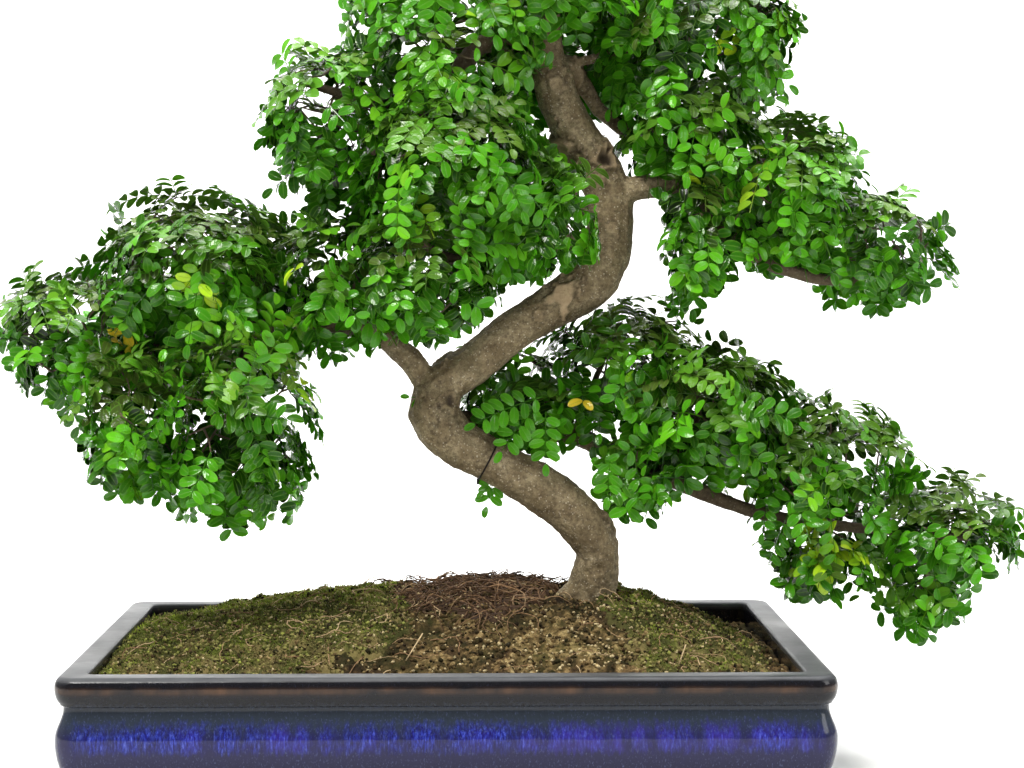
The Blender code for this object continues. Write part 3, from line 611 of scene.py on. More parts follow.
def build_tray():
    """The glazed tray with its feet and drain holes, a finer shape of the CAD's."""
    loops = []
    for inset, height in tray_section():
        corner = max(TRAY_CORNER - inset, INNER_CORNER)
        loops.append([(point.x, point.y, height)
                      for point in rounded_loop(HALF_X - inset, HALF_Y - inset, corner)])
    blank = blank_object("tray_blank", loft(loops))
    tools = [(foot_blank(sign_x, sign_y), "UNION") for sign_x in (-1, 1) for sign_y in (-1, 1)]
    tools += [(drain_blank(sign_x), "DIFFERENCE") for sign_x in (-1, 1)]
    for tool, operation in tools:
        modifier = blank.modifiers.new("cut", "BOOLEAN")
        modifier.operation = operation
        modifier.object = tool
    mesh = apply_modifiers(blank)
    for item in [blank] + [tool for tool, _ in tools]:
        bpy.data.objects.remove(item)
    wear_and_sheen = [tray_wear_and_sheen(vertex.co) for vertex in mesh.vertices]
    store_colour(mesh, "wear_and_sheen", np.clip([first for first, _ in wear_and_sheen], 0, 1))
    store_colour(mesh, "blue", np.clip([second for _, second in wear_and_sheen], 0, 1))
    mesh.shade_smooth()
    mesh.set_sharp_from_angle(angle=math.radians(50))
    add_piece("glazed_tray", mesh, glaze_material(), ("pot",))


# ---------------------------------------------------------------- soil, moss and roots

GROUND_STEP = 1.4 * MM
MOSS_LIFT = 3.2 * MM
MAT_LIFT = 3.0 * MM
SHEET_DEPTH = 6 * MM
SOIL_EDGE = RIM_TOP - 9 * MM
SMOOTHING_PASSES = 24
MAT_FIBRES = 1300
LOOSE_FIBRES = 170
# Random seeds of the ground's pieces, and how many shoots each moss cushion tries for.
SOIL_SEED = 11
ROOT_SEED = 23
MOSS = {"moss_left": (42000, 31), "moss_right": (16000, 37)}
# Cover below which no moss or root mat is laid.
THINNEST_COVER = 0.02


def tree_of(name):
    """Search tree over a node's CAD mesh."""
    mesh = nodes[name].data
    mesh.calc_loop_triangles()
    return BVHTree.FromPolygons([vertex.co.copy() for vertex in mesh.vertices],
                                [tuple(triangle.vertices) for triangle in mesh.loop_triangles])


def crumb_shape():
    work = bmesh.new()
    bmesh.ops.create_icosphere(work, subdivisions=1, radius=1.0)
    work.verts.index_update()
    points = [tuple(vertex.co) for vertex in work.verts]
    faces = [tuple(vertex.index for vertex in face.verts) for face in work.faces]
    work.free()
    return points, faces


CRUMB_POINTS, CRUMB_FACES = crumb_shape()
BLADE_FACES = ((0, 2, 1), (0, 3, 2), (0, 1, 3), (1, 2, 4), (2, 3, 4), (3, 1, 4))


def crumb(batch, centre, size, rng, squash, grain):
    """A rough little stone or crumb: a jittered ball of few faces."""
    turn = Matrix.Rotation(rng.uniform(0, math.tau), 3, Vector((rng.gauss(0, 1), rng.gauss(0, 1), 1)))
    points = []
    for point in CRUMB_POINTS:
        stretched = Vector((point[0], point[1] * rng.uniform(0.6, 1.0), point[2] * squash))
        points.append(centre + turn @ (stretched * size * rng.uniform(0.7, 1.2)))
    batch.add(points, CRUMB_FACES, grain=grain)


def plan_clouds(x, y, layer, size):
    """Noise over the plan, at a place in millimetres; each layer has its own lumps."""
    return clouds((x * MM, y * MM, layer), size)


def smooth_step(value, low, high):
    share = clamp((value - low) / (high - low))
    return share * share * (3 - 2 * share)


def blob(x, y, middle, half, power=2):
    """1 in the middle of an oval place, in millimetres from the tray's middle, and 0 at its edge."""
    return 1 - abs((x - middle[0]) / half[0]) ** power - abs((y - middle[1]) / half[1]) ** power


def hump(x, y, middle, width):
    """A round-topped rise over the plan, 1 at its middle and fading all round."""
    return math.exp(-(((x - middle[0]) / width[0]) ** 2 + ((y - middle[1]) / width[1]) ** 2))


def moss_cover(side, x, y):
    """How thick the moss grows at a place: irregular at its edges, with bare spots."""
    ragged = 0.55 * plan_clouds(x, y, 0.4, 34 * MM) + 0.30 * plan_clouds(x, y, 0.4, 9 * MM)
    if side == "moss_left":
        return smooth_step(blob(x, y, (-106, 2), (84, 128), 4) + ragged, 0.05, 0.5)
    return smooth_step(blob(x, y, (128, -22), (48, 96), 3) + ragged, 0.10, 0.6)


def mat_cover(x, y):
    ragged = 0.5 * plan_clouds(x, y, 1.4, 22 * MM)
    return smooth_step(blob(x, y, (18, 10), (52, 66)) + ragged, 0.05, 0.55)


def hollow_depth(x, y):
    """Hollows: in the back right corner, at the front, and a few cracks, in millimetres; the soil gets
    painted shade in them.
    """
    depth = 6 * smooth_step(blob(x, y, (150, 92), (62, 46)), 0.0, 0.6)
    depth += 5 * smooth_step(blob(x, y, (6, -126), (22, 12)), 0.0, 0.6)
    depth += 3 * smooth_step(plan_clouds(x, y, 6.0, 15 * MM), 0.42, 0.7)
    return depth


class Ground:
    """Height of the bare soil on a fine grid over the tray's inside, smooth between its points."""

    def __init__(self):
        """Drop the grid onto the CAD's soil, smooth it, then add lumps and hollows."""
        inset = 0.4 * MM
        self.low = Vector((SOIL_LOW.x + inset, SOIL_LOW.y + inset))
        self.high = Vector((SOIL_HIGH.x - inset, SOIL_HIGH.y - inset))
        self.columns = int((self.high.x - self.low.x) / GROUND_STEP)
        self.rows = int((self.high.y - self.low.y) / GROUND_STEP)
        self.x = np.linspace(self.low.x, self.high.x, self.columns + 1)
        self.y = np.linspace(self.low.y, self.high.y, self.rows + 1)
        soil = tree_of("soil")
        height = np.zeros((self.rows + 1, self.columns + 1))
        for row, y in enumerate(self.y):
            for column, x in enumerate(self.x):
                start = Vector((x, y, 1.0)).lerp(Vector((TRAY_CENTRE.x, TRAY_CENTRE.y, 1.0)), 0.01)
                hit = soil.ray_cast(start, DOWN)[0]
                height[row, column] = SOIL_EDGE if hit is None else hit.z
        height = np.maximum(height, SOIL_EDGE)
        for _ in range(SMOOTHING_PASSES):
            padded = np.pad(height, 1, mode="edge")
            height = (padded[:-2, 1:-1] + padded[2:, 1:-1] + padded[1:-1, :-2] + padded[1:-1, 2:]) / 4
        for row, y in enumerate(self.y):
            for column, x in enumerate(self.x):
                lumps = 2.8 * clouds((x, y, 0.3), 17 * MM) + 2.0 * clouds((x, y, 0.7), 6 * MM)
                lumps += 0.9 * clouds((x, y, 0.9), 2.6 * MM, 2)
                wall = min(x - self.low.x, self.high.x - x, y - self.low.y, self.high.y - y)
                lumps -= 1.8 * math.exp(-wall / (4 * MM))
                lumps -= hollow_depth((x - TRAY_CENTRE.x) / MM, (y - TRAY_CENTRE.y) / MM)
                height[row, column] += lumps * MM
        self.bare = height
        self.top = height.copy()

    def at(self, x, y, heights=None):
        """Height at a place, or None beside the soil."""
        heights = self.top if heights is None else heights
        column = (x - self.low.x) / (self.high.x - self.low.x) * self.columns
        row = (y - self.low.y) / (self.high.y - self.low.y) * self.rows
        if not (0 <= column < self.columns and 0 <= row < self.rows):
            return None
        i, j = int(row), int(column)
        u, v = row - i, column - j
        return float(heights[i, j] * (1 - u) * (1 - v) + heights[i, j + 1] * (1 - u) * v
                     + heights[i + 1, j] * u * (1 - v) + heights[i + 1, j + 1] * u * v)

    def grid(self, heights):
        across, along = np.meshgrid(self.x, self.y)
        return np.stack([across, along, heights], -1)

    def local(self, row, column):
        """A grid point in millimetres from the tray's middle."""
        return (self.x[column] - TRAY_CENTRE.x) / MM, (self.y[row] - TRAY_CENTRE.y) / MM

    def spot(self, x, y):
        """The ground's point at a place in millimetres from the tray's middle, or None."""
        across, along = TRAY_CENTRE.x + x * MM, TRAY_CENTRE.y + y * MM
        z = self.at(across, along)
        return None if z is None else Vector((across, along, z))

    def cover(self, thickness):
        """A cover's thickness at every grid point, from a function of the place."""
        return np.array([[thickness(*self.local(row, column)) for column in range(self.columns + 1)]
                         for row in range(self.rows + 1)])


def sheet(batch, grid, cells, bottom, colours):
    """Closed body between the chosen cells of a grid and a second layer of points below it."""
    rows, columns = grid.shape[:2]
    index = np.arange(rows * columns).reshape(rows, columns)
    corners = np.stack([index[:-1, :-1], index[:-1, 1:], index[1:, 1:], index[1:, :-1]], -1)[cells]
    top = np.concatenate([corners[:, (0, 1, 2)], corners[:, (0, 2, 3)]])
    edges = np.concatenate([corners[:, pair] for pair in ((0, 1), (1, 2), (2, 3), (3, 0))])
    count = rows * columns
    keys = edges[:, 0].astype(np.int64) * count + edges[:, 1]
    twins = edges[:, 1].astype(np.int64) * count + edges[:, 0]
    rim = edges[~np.isin(keys, twins)]
    walls = np.concatenate([np.stack([rim[:, 1], rim[:, 0], rim[:, 0] + count], -1),
                            np.stack([rim[:, 1], rim[:, 0] + count, rim[:, 1] + count], -1)])
    faces = np.concatenate([top, top[:, ::-1] + count, walls])
    points = np.concatenate([grid.reshape(-1, 3), bottom.reshape(-1, 3)])
    shades = np.concatenate([colours.reshape(-1, 3), colours.reshape(-1, 3)])
    used, faces = np.unique(faces, return_inverse=True)
    batch.add(points[used], faces.reshape(-1, 3), grain=np.clip(shades[used], 0, 1))


def tan_share(x, y):
    """How much pale tan crumb lies at a place, in millimetres from the tray's middle."""
    ragged = 0.5 + 0.9 * plan_clouds(x, y, 7.0, 14 * MM)
    share = hump(x, y, (44, -98), (30, 30)) + 0.5 * hump(x, y, (78, -88), (46, 40))
    return clamp(share * ragged * 1.5)


def build_soil(ground):
    """Bare soil with clods, stones and crumbs, down to the grit."""
    colours = np.zeros(ground.bare.shape + (3,))
    for row in range(ground.rows + 1):
        for column in range(ground.columns + 1):
            x, y = ground.local(row, column)
            kind = 0.27 + 0.30 * plan_clouds(x, y, 1.3, 22 * MM)
            kind += 0.48 * plan_clouds(x, y, 2.1, 4 * MM) + 0.36 * tan_share(x, y)
            mossy = max(0.0, 0.5 * plan_clouds(x, y, 4.0, 20 * MM) + 0.25)
            # Blue: painted shade, darker the deeper the hollow.
            colours[row, column] = (kind, mossy, min(1.0, hollow_depth(x, y) / 5))
    batch = Batch("grain")
    grid = ground.grid(ground.bare)
    bottom = grid.copy()
    bottom[:, :, 2] = SOIL_LOW.z
    sheet(batch, grid, np.ones((ground.rows, ground.columns), bool), bottom, colours)
    rng = random.Random(SOIL_SEED)
    reach_x = (ground.high.x - ground.low.x) / 2 / MM - 3
    reach_y = (ground.high.y - ground.low.y) / 2 / MM - 3

    def scatter(count, smallest, largest, kinds, zone):
        """Crumbs of a range of sizes in millimetres, as thick as the zone says at each place."""
        for _ in range(count):
            x, y = rng.uniform(-reach_x, reach_x), rng.uniform(-reach_y, reach_y)
            spot = ground.spot(x, y)
            if spot is None or rng.random() > zone(x, y):
                continue
            size = rng.uniform(smallest, largest) * MM
            grain = (clamp(rng.choice(kinds) + rng.gauss(0, 0.06)), rng.uniform(0, 0.3), 0.0)
            spot.z += 0.35 * size
            crumb(batch, spot, size, rng, rng.uniform(0.5, 0.9), grain)

    scatter(11000, 0.45, 1.3, (0.0, 0.1, 0.3, 0.5, 0.75, 0.95), lambda x, y: 1.0)
    scatter(6500, 0.5, 1.5, (0.4, 0.7, 0.9, 1.0), tan_share)
    scatter(1500, 1.0, 2.2, (0.0, 0.05, 0.2, 0.4, 0.6), lambda x, y: 0.25 + 0.75 * (x > -30))
    declare(batch.build("soil_surface", soil_material()), ("soil",))


def moss_green(x, y):
    """How fresh the moss is at a place: bright on the crest, olive and brown in front."""
    crest = bell(y, 42, 42) * (x < 40) + hump(x, y, (104, 16), (16, 26))
    mottled = 0.40 * plan_clouds(x, y, 5.0, 20 * MM) + 0.34 * plan_clouds(x, y, 5.5, 6 * MM)
    return 0.24 + 0.52 * crest + mottled


def raise_cover(ground, cover, lift):
    """Add a cover's thickness to the ground's top, and give the cover's own surface."""
    surface = np.full(ground.bare.shape, -1.0)
    for row, column in zip(*np.nonzero(cover > THINNEST_COVER)):
        x, y = ground.local(row, column)
        lumps = 1.8 * plan_clouds(x, y, 0.2, 10 * MM) + 1.5 * plan_clouds(x, y, 0.5, 4 * MM)
        thick = min(1.0, 1.5 * cover[row, column]) - 0.35
        surface[row, column] = ground.bare[row, column] + thick * (lift + lumps * MM)
    ground.top = np.maximum(ground.top, surface)
    return surface


def cover_sheet(batch, ground, cover, surface, colours):
    """The cover's closed body, sunk into the soil at its ragged edge."""
    kept = cover > THINNEST_COVER
    cells = kept[:-1, :-1] & kept[:-1, 1:] & kept[1:, 1:] & kept[1:, :-1]
    bottom = ground.grid(surface)
    bottom[:, :, 2] -= SHEET_DEPTH
    sheet(batch, ground.grid(surface), cells, bottom, colours)


def build_moss(name, ground, blades, seed):
    """Mossy cover with short shoots in tufts, paler crumbs and bare brown spots."""
    cover = ground.cover(lambda x, y: moss_cover(name, x, y))
    surface = raise_cover(ground, cover, MOSS_LIFT)
    colours = np.zeros(cover.shape + (3,))
    for row, column in zip(*np.nonzero(cover > THINNEST_COVER)):
        x, y = ground.local(row, column)
        dry = smooth_step(plan_clouds(x, y, 8.0, 15 * MM) - 0.004 * y, 0.2, 0.9)
        colours[row, column] = (moss_green(x, y) - 0.14, 0.2, 0.8 * dry)
    batch = Batch("grain")
    cover_sheet(batch, ground, cover, surface, colours)
    rng = random.Random(seed)
    low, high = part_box(name)
    low, high = low - Vector((8, 8, 0)) * MM, high + Vector((8, 8, 0)) * MM
    for _ in range(blades):
        x, y = rng.uniform(low.x, high.x), rng.uniform(low.y, high.y)
        z = ground.at(x, y, surface)
        local_x, local_y = (x - TRAY_CENTRE.x) / MM, (y - TRAY_CENTRE.y) / MM
        bare = ground.at(x, y, ground.bare)
        if z is None or z < bare or rng.random() > moss_cover(name, local_x, local_y):
            continue
        dry = smooth_step(clouds((x, y, 8.0), 15 * MM) - 0.004 * local_y, 0.2, 0.9)
        fresh = clamp(moss_green(local_x, local_y) + rng.gauss(0, 0.17))
        if rng.random() < 0.07:
            size = rng.uniform(0.4, 1.5) * MM
            crumb(batch, Vector((x, y, z + 0.6 * size)), size, rng, 0.6,
                  (rng.uniform(0.1, 1.0), 1.0, rng.choice((0.3, 0.8, 1.0))))
            continue
        lean = Vector((rng.gauss(0, 0.5), rng.gauss(0, 0.5), 1)).normalized()
        side = lean.orthogonal().normalized()
        other = lean.cross(side)
        tall = rng.uniform(0.8, 3.0) * MM
        thick = rng.uniform(0.22, 0.50) * MM
        foot = Vector((x, y, z - 0.5 * MM))
        middle = foot + lean * tall * 0.6
        shape = [foot]
        for angle in (0.0, 2.1, 4.2):
            shape.append(middle + thick * (math.cos(angle) * side + math.sin(angle) * other))
        shape.append(foot + lean * tall)
        shade = (fresh, rng.uniform(0, 0.6), min(0.7, dry * rng.uniform(0.4, 1.2)))
        batch.add(shape, BLADE_FACES, grain=shade)
    declare(batch.build(name + "_cushion", moss_material()), (name,))


def fibre(batch, start, heading, length, thickness, rng, ground, shade, lift):
    """A curly root fibre that wanders over the ground, rising and diving a little."""
    steps = max(5, int(length / (3.0 * MM)))
    step = length / steps
    angle = heading
    rise = rng.uniform(-0.2, 0.4)
    bend = rng.gauss(0, 0.3)
    point = start.copy()
    points = []
    for index in range(steps + 1):
        points.append(point.copy())
        bend = 0.7 * bend + rng.gauss(0, 0.34)
        angle += bend
        point = point + Vector((math.cos(angle), math.sin(angle), 0)) * step
        rise = 0.7 * rise + rng.gauss(0, 0.3)
        point.z += rise * step
        floor = ground.at(point.x, point.y)
        if floor is None:
            break
        share = (index + 1) / steps
        target = floor + lift * math.sin(math.pi * share) + thickness * 0.5
        point.z += (target - point.z) * 0.6
    if len(points) < 4:
        return
    points[-1].z -= thickness * 2
    radii = [thickness * (1 - 0.6 * index / (len(points) - 1)) for index in range(len(points))]
    batch.add(*tube(points, radii, 5), grain=shade)


# Dry sticks on the soil: x, y, turn upwards in radians and length, in millimetres.
DRY_STICKS = ((121, -104, 1.2, 11), (128, -106, 2.9, 13), (-22, -100, 1.0, 17))


def build_roots(ground):
    """Matted fibres round the trunk's foot on a dark cushion, partly its own dark brown and partly
    painted shade under the fibres, and loose rootlets round it.
    """
    cover = ground.cover(mat_cover)
    surface = raise_cover(ground, cover, MAT_LIFT)
    colours = np.zeros(cover.shape + (3,))
    for row, column in zip(*np.nonzero(cover > THINNEST_COVER)):
        x, y = ground.local(row, column)
        # Blue: painted shade under the fibres.
        colours[row, column] = (0.20 + 0.3 * plan_clouds(x, y, 3.0, 5 * MM), 0, 0.5)
    batch = Batch("grain")
    cover_sheet(batch, ground, cover, surface, colours)
    rng = random.Random(ROOT_SEED)
    for _ in range(MAT_FIBRES):
        x, y = rng.uniform(-48, 84), rng.uniform(-70, 84)
        spot = ground.spot(x, y)
        if spot is None or rng.random() > mat_cover(x, y):
            continue
        shade = (clamp(rng.gauss(0.42, 0.2)), 0, rng.uniform(0, 0.4))
        fibre(batch, spot, rng.uniform(0, math.tau), rng.uniform(12, 42) * MM,
              rng.uniform(0.20, 0.60) * MM, rng, ground, shade, rng.uniform(-0.5, 5.5) * MM)
    for _ in range(LOOSE_FIBRES):
        spot = ground.spot(rng.uniform(-165, 165), rng.uniform(-120, 60))
        if spot is None:
            continue
        spot.z += 0.5 * MM
        shade = (rng.uniform(0.6, 1.0), 0, 0)
        fibre(batch, spot, rng.uniform(0, math.tau), rng.uniform(10, 34) * MM,
              rng.uniform(0.20, 0.40) * MM, rng, ground, shade, rng.uniform(0, 4) * MM)
    for x, y, heading, length in DRY_STICKS:
        start = ground.spot(x, y)
        along = Vector((math.cos(heading), 0.3, math.sin(heading))).normalized() * length * MM
        points = [start + along * share for share in (0, 0.35, 0.7, 1.0)]
        batch.add(*tube(points, [0.35 * MM] * 4, 5), grain=(1.0, 0, 0))
    declare(batch.build("root_fibres", root_material()), ("root_mat",))


def remeshed(names, voxel, smoothing, inflate):
    """A closed, evenly meshed copy of CAD nodes joined together, for fine displacement."""
    work = bmesh.new()
    for item in names:
        part = bmesh.new()
        part.from_mesh(nodes[item].data)
        bmesh.ops.remove_doubles(part, verts=part.verts, dist=0.01 * MM)
        bmesh.ops.recalc_face_normals(part, faces=part.faces)
        for vertex in part.verts:
            vertex.co += vertex.normal * inflate
        holder = bpy.data.meshes.new("holder")
        part.to_mesh(holder)
        part.free()
        work.from_mesh(holder)
        bpy.data.meshes.remove(holder)
    blank = blank_object("remesh_blank", work)
    modifier = blank.modifiers.new("voxels", "REMESH")
    modifier.mode = "VOXEL"
    modifier.voxel_size = voxel
    modifier = blank.modifiers.new("soften", "SMOOTH")
    modifier.factor = 0.5
    modifier.iterations = smoothing
    made = apply_modifiers(blank)
    bpy.data.objects.remove(blank)
    return made


# ---------------------------------------------------------------- wood

# Marks on the bark that face the front: x, z, radius, lip, hollow and how tan, in millimetres. Pits
# deeper than 1 mm, and a ring round each lip, get painted shade.
BARK_MARKS = (
    (63, 263, 6.5, 1.3, -0.5, 0.9),
    (87, 339, 7.0, 1.8, 2.2, 0.45),
    (60, 344, 7.5, 3.6, -1.2, 0.5),
    (70, 386, 5.5, 2.0, 1.0, 0.3),
    (60, 380, 4.5, 1.4, 0.6, 0.2),
    (94, 137, 5.0, 2.2, -0.8, 0.5),
    (84, 108, 6.0, 0.4, 1.0, 0.0),
    (1, 203, 5.0, 0.4, 1.2, 0.0),
    (-2, 190, 4.0, 0.2, 0.8, 0.0),
    (-14, 206, 2.6, 0.4, 0.7, 0.0),
    (-17, 212, 2.2, 0.4, 0.6, 0.0),
    (-5, 226, 6.0, 2.0, 0.4, 0.3),
    (50, 252, 3.5, 0.7, 0.4, 0.3),
    (91, 300, 4.0, 0.8, -0.3, 0.15),
)
BARK_VOXEL = 1.05 * MM
BARK_SMOOTHING = 12
BARK_SWELL = 0.45 * MM
WIRE_RADIUS = 0.55 * MM
WIRE_STEPS = 48
TWIST_STEPS = 9


def build_wood():
    """One skin over trunk, roots and branches: knots, folds and fine bark in the mesh, with painted
    shade stored in its pits and creases.
    """
    mesh = remeshed(["trunk"] + BRANCHES, BARK_VOXEL, BARK_SMOOTHING, BARK_SWELL)
    points = read_points(mesh)
    normals = np.empty(len(points) * 3, dtype=np.float32)
    mesh.vertices.foreach_get("normal", normals)
    normals = normals.reshape(-1, 3)
    holder = put("mesh_holder", mesh)
    bpy.context.view_layer.update()
    skin = BVHTree.FromObject(holder, bpy.context.evaluated_depsgraph_get())
    bpy.data.objects.remove(holder)
    trunk_tree = tree_of("trunk")
    shades = np.zeros((len(points), 3), dtype=np.float32)
    moves = np.zeros(len(points), dtype=np.float32)
    for index, point in enumerate(points):
        where = Vector(point)
        far = trunk_tree.find_nearest(where)[3]
        thin = clamp((far - 4 * MM) / (50 * MM))
        fold = clouds((where.x, where.y, where.z * 0.7), 17 * MM, 3)
        fine = clouds(where, 4.2 * MM, 4)
        moves[index] = ((0.95 * fold + 0.42 * fine) * (1 - 0.55 * thin)) * MM
        shades[index, 0] = thin
    for x, z, radius, lip, hollow, tan in BARK_MARKS:
        hit = skin.ray_cast(place(x, -300, z), Vector((0, 1, 0)))[0]
        if hit is None:
            hit = skin.find_nearest(place(x, 0, z))[0]
        radius *= MM
        away = np.linalg.norm(points - np.array(hit), axis=1)
        for index in np.nonzero(away < 3 * radius)[0]:
            away[index] *= 1 + 0.9 * clouds(points[index], 7 * MM, 3)
        for index in np.nonzero(away < 1.9 * radius)[0]:
            share = away[index] / radius
            ring = bell(share, 0.85, 0.33)
            pit = max(0.0, 1 - (share / 0.75) ** 2)
            moves[index] += (lip * ring - hollow * pit) * MM
            shades[index, 1] = max(shades[index, 1], tan * (1 - clamp((share - 0.75) / 0.45)))
            # Painted shade: dark in deep pits and in a thin crease just outside the lip.
            dark = (hollow > 1.0) * pit + 0.5 * bell(share, 1.3, 0.16)
            shades[index, 2] = max(shades[index, 2], min(0.95, dark))
    points = points + normals * moves[:, None]
    mesh.vertices.foreach_set("co", points.ravel().astype(np.float32))
    store_colour(mesh, "wood", np.clip(shades, 0, 1))
    mesh.shade_smooth()
    add_piece("wood", mesh, BARK, ["trunk"] + BRANCHES)
    return BVHTree.FromPolygons([Vector(point) for point in points],
                                [tuple(face.vertices) for face in mesh.polygons])


def build_wire(skin):
    """Thin dark wire that follows the bark round the trunk, with a twisted end below."""
    low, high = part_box("training_wire")
    middle = (low + high) / 2
    points = read_points(nodes["training_wire"].data)
    _, _, axes = np.linalg.svd(points - points.mean(0))
    across, over = Vector(axes[0]), Vector(axes[1])
    ring = []
    for step in range(WIRE_STEPS):
        angle = math.tau * step / WIRE_STEPS
        outward = math.cos(angle) * across + math.sin(angle) * over
        hit = skin.ray_cast(middle + outward * 40 * MM, -outward)[0]
        ring.append(hit + outward * 0.25 * MM)
    batch = Batch("grain")
    batch.add(*tube(ring + ring[:1], [WIRE_RADIUS] * (WIRE_STEPS + 1), 8), grain=(0, 0, 0))
    lowest = min(ring, key=lambda point: point.z)
    for turn in (0.0, math.pi):
        twist = []
        for step in range(TWIST_STEPS):
            angle = turn + step * 0.75
            offset = Vector((math.cos(angle) * 0.6, math.sin(angle) * 0.6, -0.35 * step))
            twist.append(lowest + offset * MM)
        batch.add(*tube(twist, [WIRE_RADIUS * 0.9] * TWIST_STEPS, 7), grain=(0, 0, 0))
    material = plain_material("wire", (0.010, 0.008, 0.007), (0.035, 0.026, 0.020), 2 * MM, 0.55,
                              0.05 * MM, metallic=0.6)
    declare(batch.build("twisted_wire", material), ("training_wire",))


# ---------------------------------------------------------------- foliage

# Where the front view is taken from, and how far it tilts down and turns, in radians.
VIEWPOINT = place(8.9, -1312.2, 271.7)
VIEW_DOWN = 0.0453
VIEW_TURN = -0.0204
# Windows in the front view, in millimetres: lowest and highest x, lowest and highest z. Leaves may
# cover the trunk in the first, mostly leave limbs bare in the second and stay out of the third.
TRUNK_COVERED = ((46, 63, 166, 203), (60, 85, 274, 316), (40, 99, 316, 339), (37, 63, 386, 408),
                 (54, 68, 355, 367), (24, 110, 398, 500))
LIMBS_SHOW = ((108, 192, 132, 176), (103, 132, 314, 332), (192, 232, 266, 278), (-50, -14, 218, 246),
              (-5, 28, 378, 412), (-20, 20, 282, 300))
OPEN_AIR = ((109, 117, 262, 312), (-24, 40, 60, 130))
# Lime-green young leaflets, from the tray's middle in millimetres, and their radius.
LIME_PLACES = (
    ((212, -20, 124), 22),
    ((-90, -50, 270), 13),
    ((-137, -60, 265), 9),
    ((-88, -50, 208), 14),
    ((153, -30, 403), 11),
    ((144, -30, 327), 7),
    ((170, -20, 280), 9),
)
YELLOW_PLACES = (((-174, -40, 238), 9), ((-12, -40, 231), 8), ((74, -20, 202), 8))
PAIR_STEP = 7.0 * MM
LEAFLET_LENGTH = 10.4 * MM
LEAFLET_WIDTH = 5.9 * MM
# How far fronds reach past their pads, at least and at most, and the most for hanging ones.
REACH_LEAST = 1 * MM
REACH_MOST = 14 * MM
REACH_HANGING = 17 * MM
# Depth in a pad at which leaflets get their full painted shade.
DARK_DEPTH = 12 * MM
# Random seeds of the sprigs and of the first pad; the others follow on.
SPRIG_SEED = 7
PAD_SEED = 100
# Distance between twig ends, and between those of the one thin hanging pad.
TIP_SPACING = 19 * MM
SMALL_TIP_SPACING = 12 * MM
# How far behind a leaflet the trunk or a limb is looked for.
TRUNK_SIGHT = 190 * MM
LIMB_SIGHT = 130 * MM


def leaflet_shape():
    """A thin blade along +X, unit length: elliptical, round at its tip, folded a little, closed."""
    points = [(0.0, 0.0, 0.0)]
    coords = [(0.0, 0.0, 0.0)]
    stations = (0.10, 0.30, 0.52, 0.74, 0.92)
    for share in stations:
        along = share ** 1.15
        half = 0.5 * math.sqrt(1 - (2 * along - 1) ** 2)
        arch = 0.07 * math.sin(math.pi * share) - 0.05 * share ** 2
        rise = 0.13 * half
        points += [(share, half, arch + rise), (share, 0.0, arch), (share, -half, arch + rise),
                   (share, 0.0, arch - 0.035)]
        coords += [(1.0, share, 0), (0.0, share, 0), (1.0, share, 0), (0.0, share, 0)]
    points.append((1.0, 0.0, -0.05))
    coords.append((1.0, 1.0, 0))
    faces = [(0, 2, 1), (0, 3, 2), (0, 1, 4), (0, 4, 3)]
    for index in range(len(stations) - 1):
        low = 1 + 4 * index
        for first, second in ((0, 1), (1, 2), (2, 3), (3, 0)):
            a, b = low + first, low + second
            faces += [(a, b, b + 4), (a, b + 4, a + 4)]
    low = 1 + 4 * (len(stations) - 1)
    tip = len(points) - 1
    for first, second in ((0, 1), (1, 2), (2, 3), (3, 0)):
        faces.append((low + first, low + second, tip))
    return (np.array(points, dtype=np.float32), np.array(faces, dtype=np.int32),
            np.array(coords, dtype=np.float32))


LEAFLET_POINTS, LEAFLET_FACES, LEAFLET_COORDS = leaflet_shape()


def seen_at(point):
    """Where a point shows from the front, in millimetres in the plane of the tray's middle."""
    share = (TRAY_CENTRE.y - VIEWPOINT.y) / (point.y - VIEWPOINT.y)
    shown = VIEWPOINT.lerp(point, share) - TRAY_CENTRE
    return shown.x / MM, shown.z / MM


def in_windows(point, windows):
    x, z = seen_at(point)
    return any(left < x < right and low < z < high for left, right, low, high in windows)


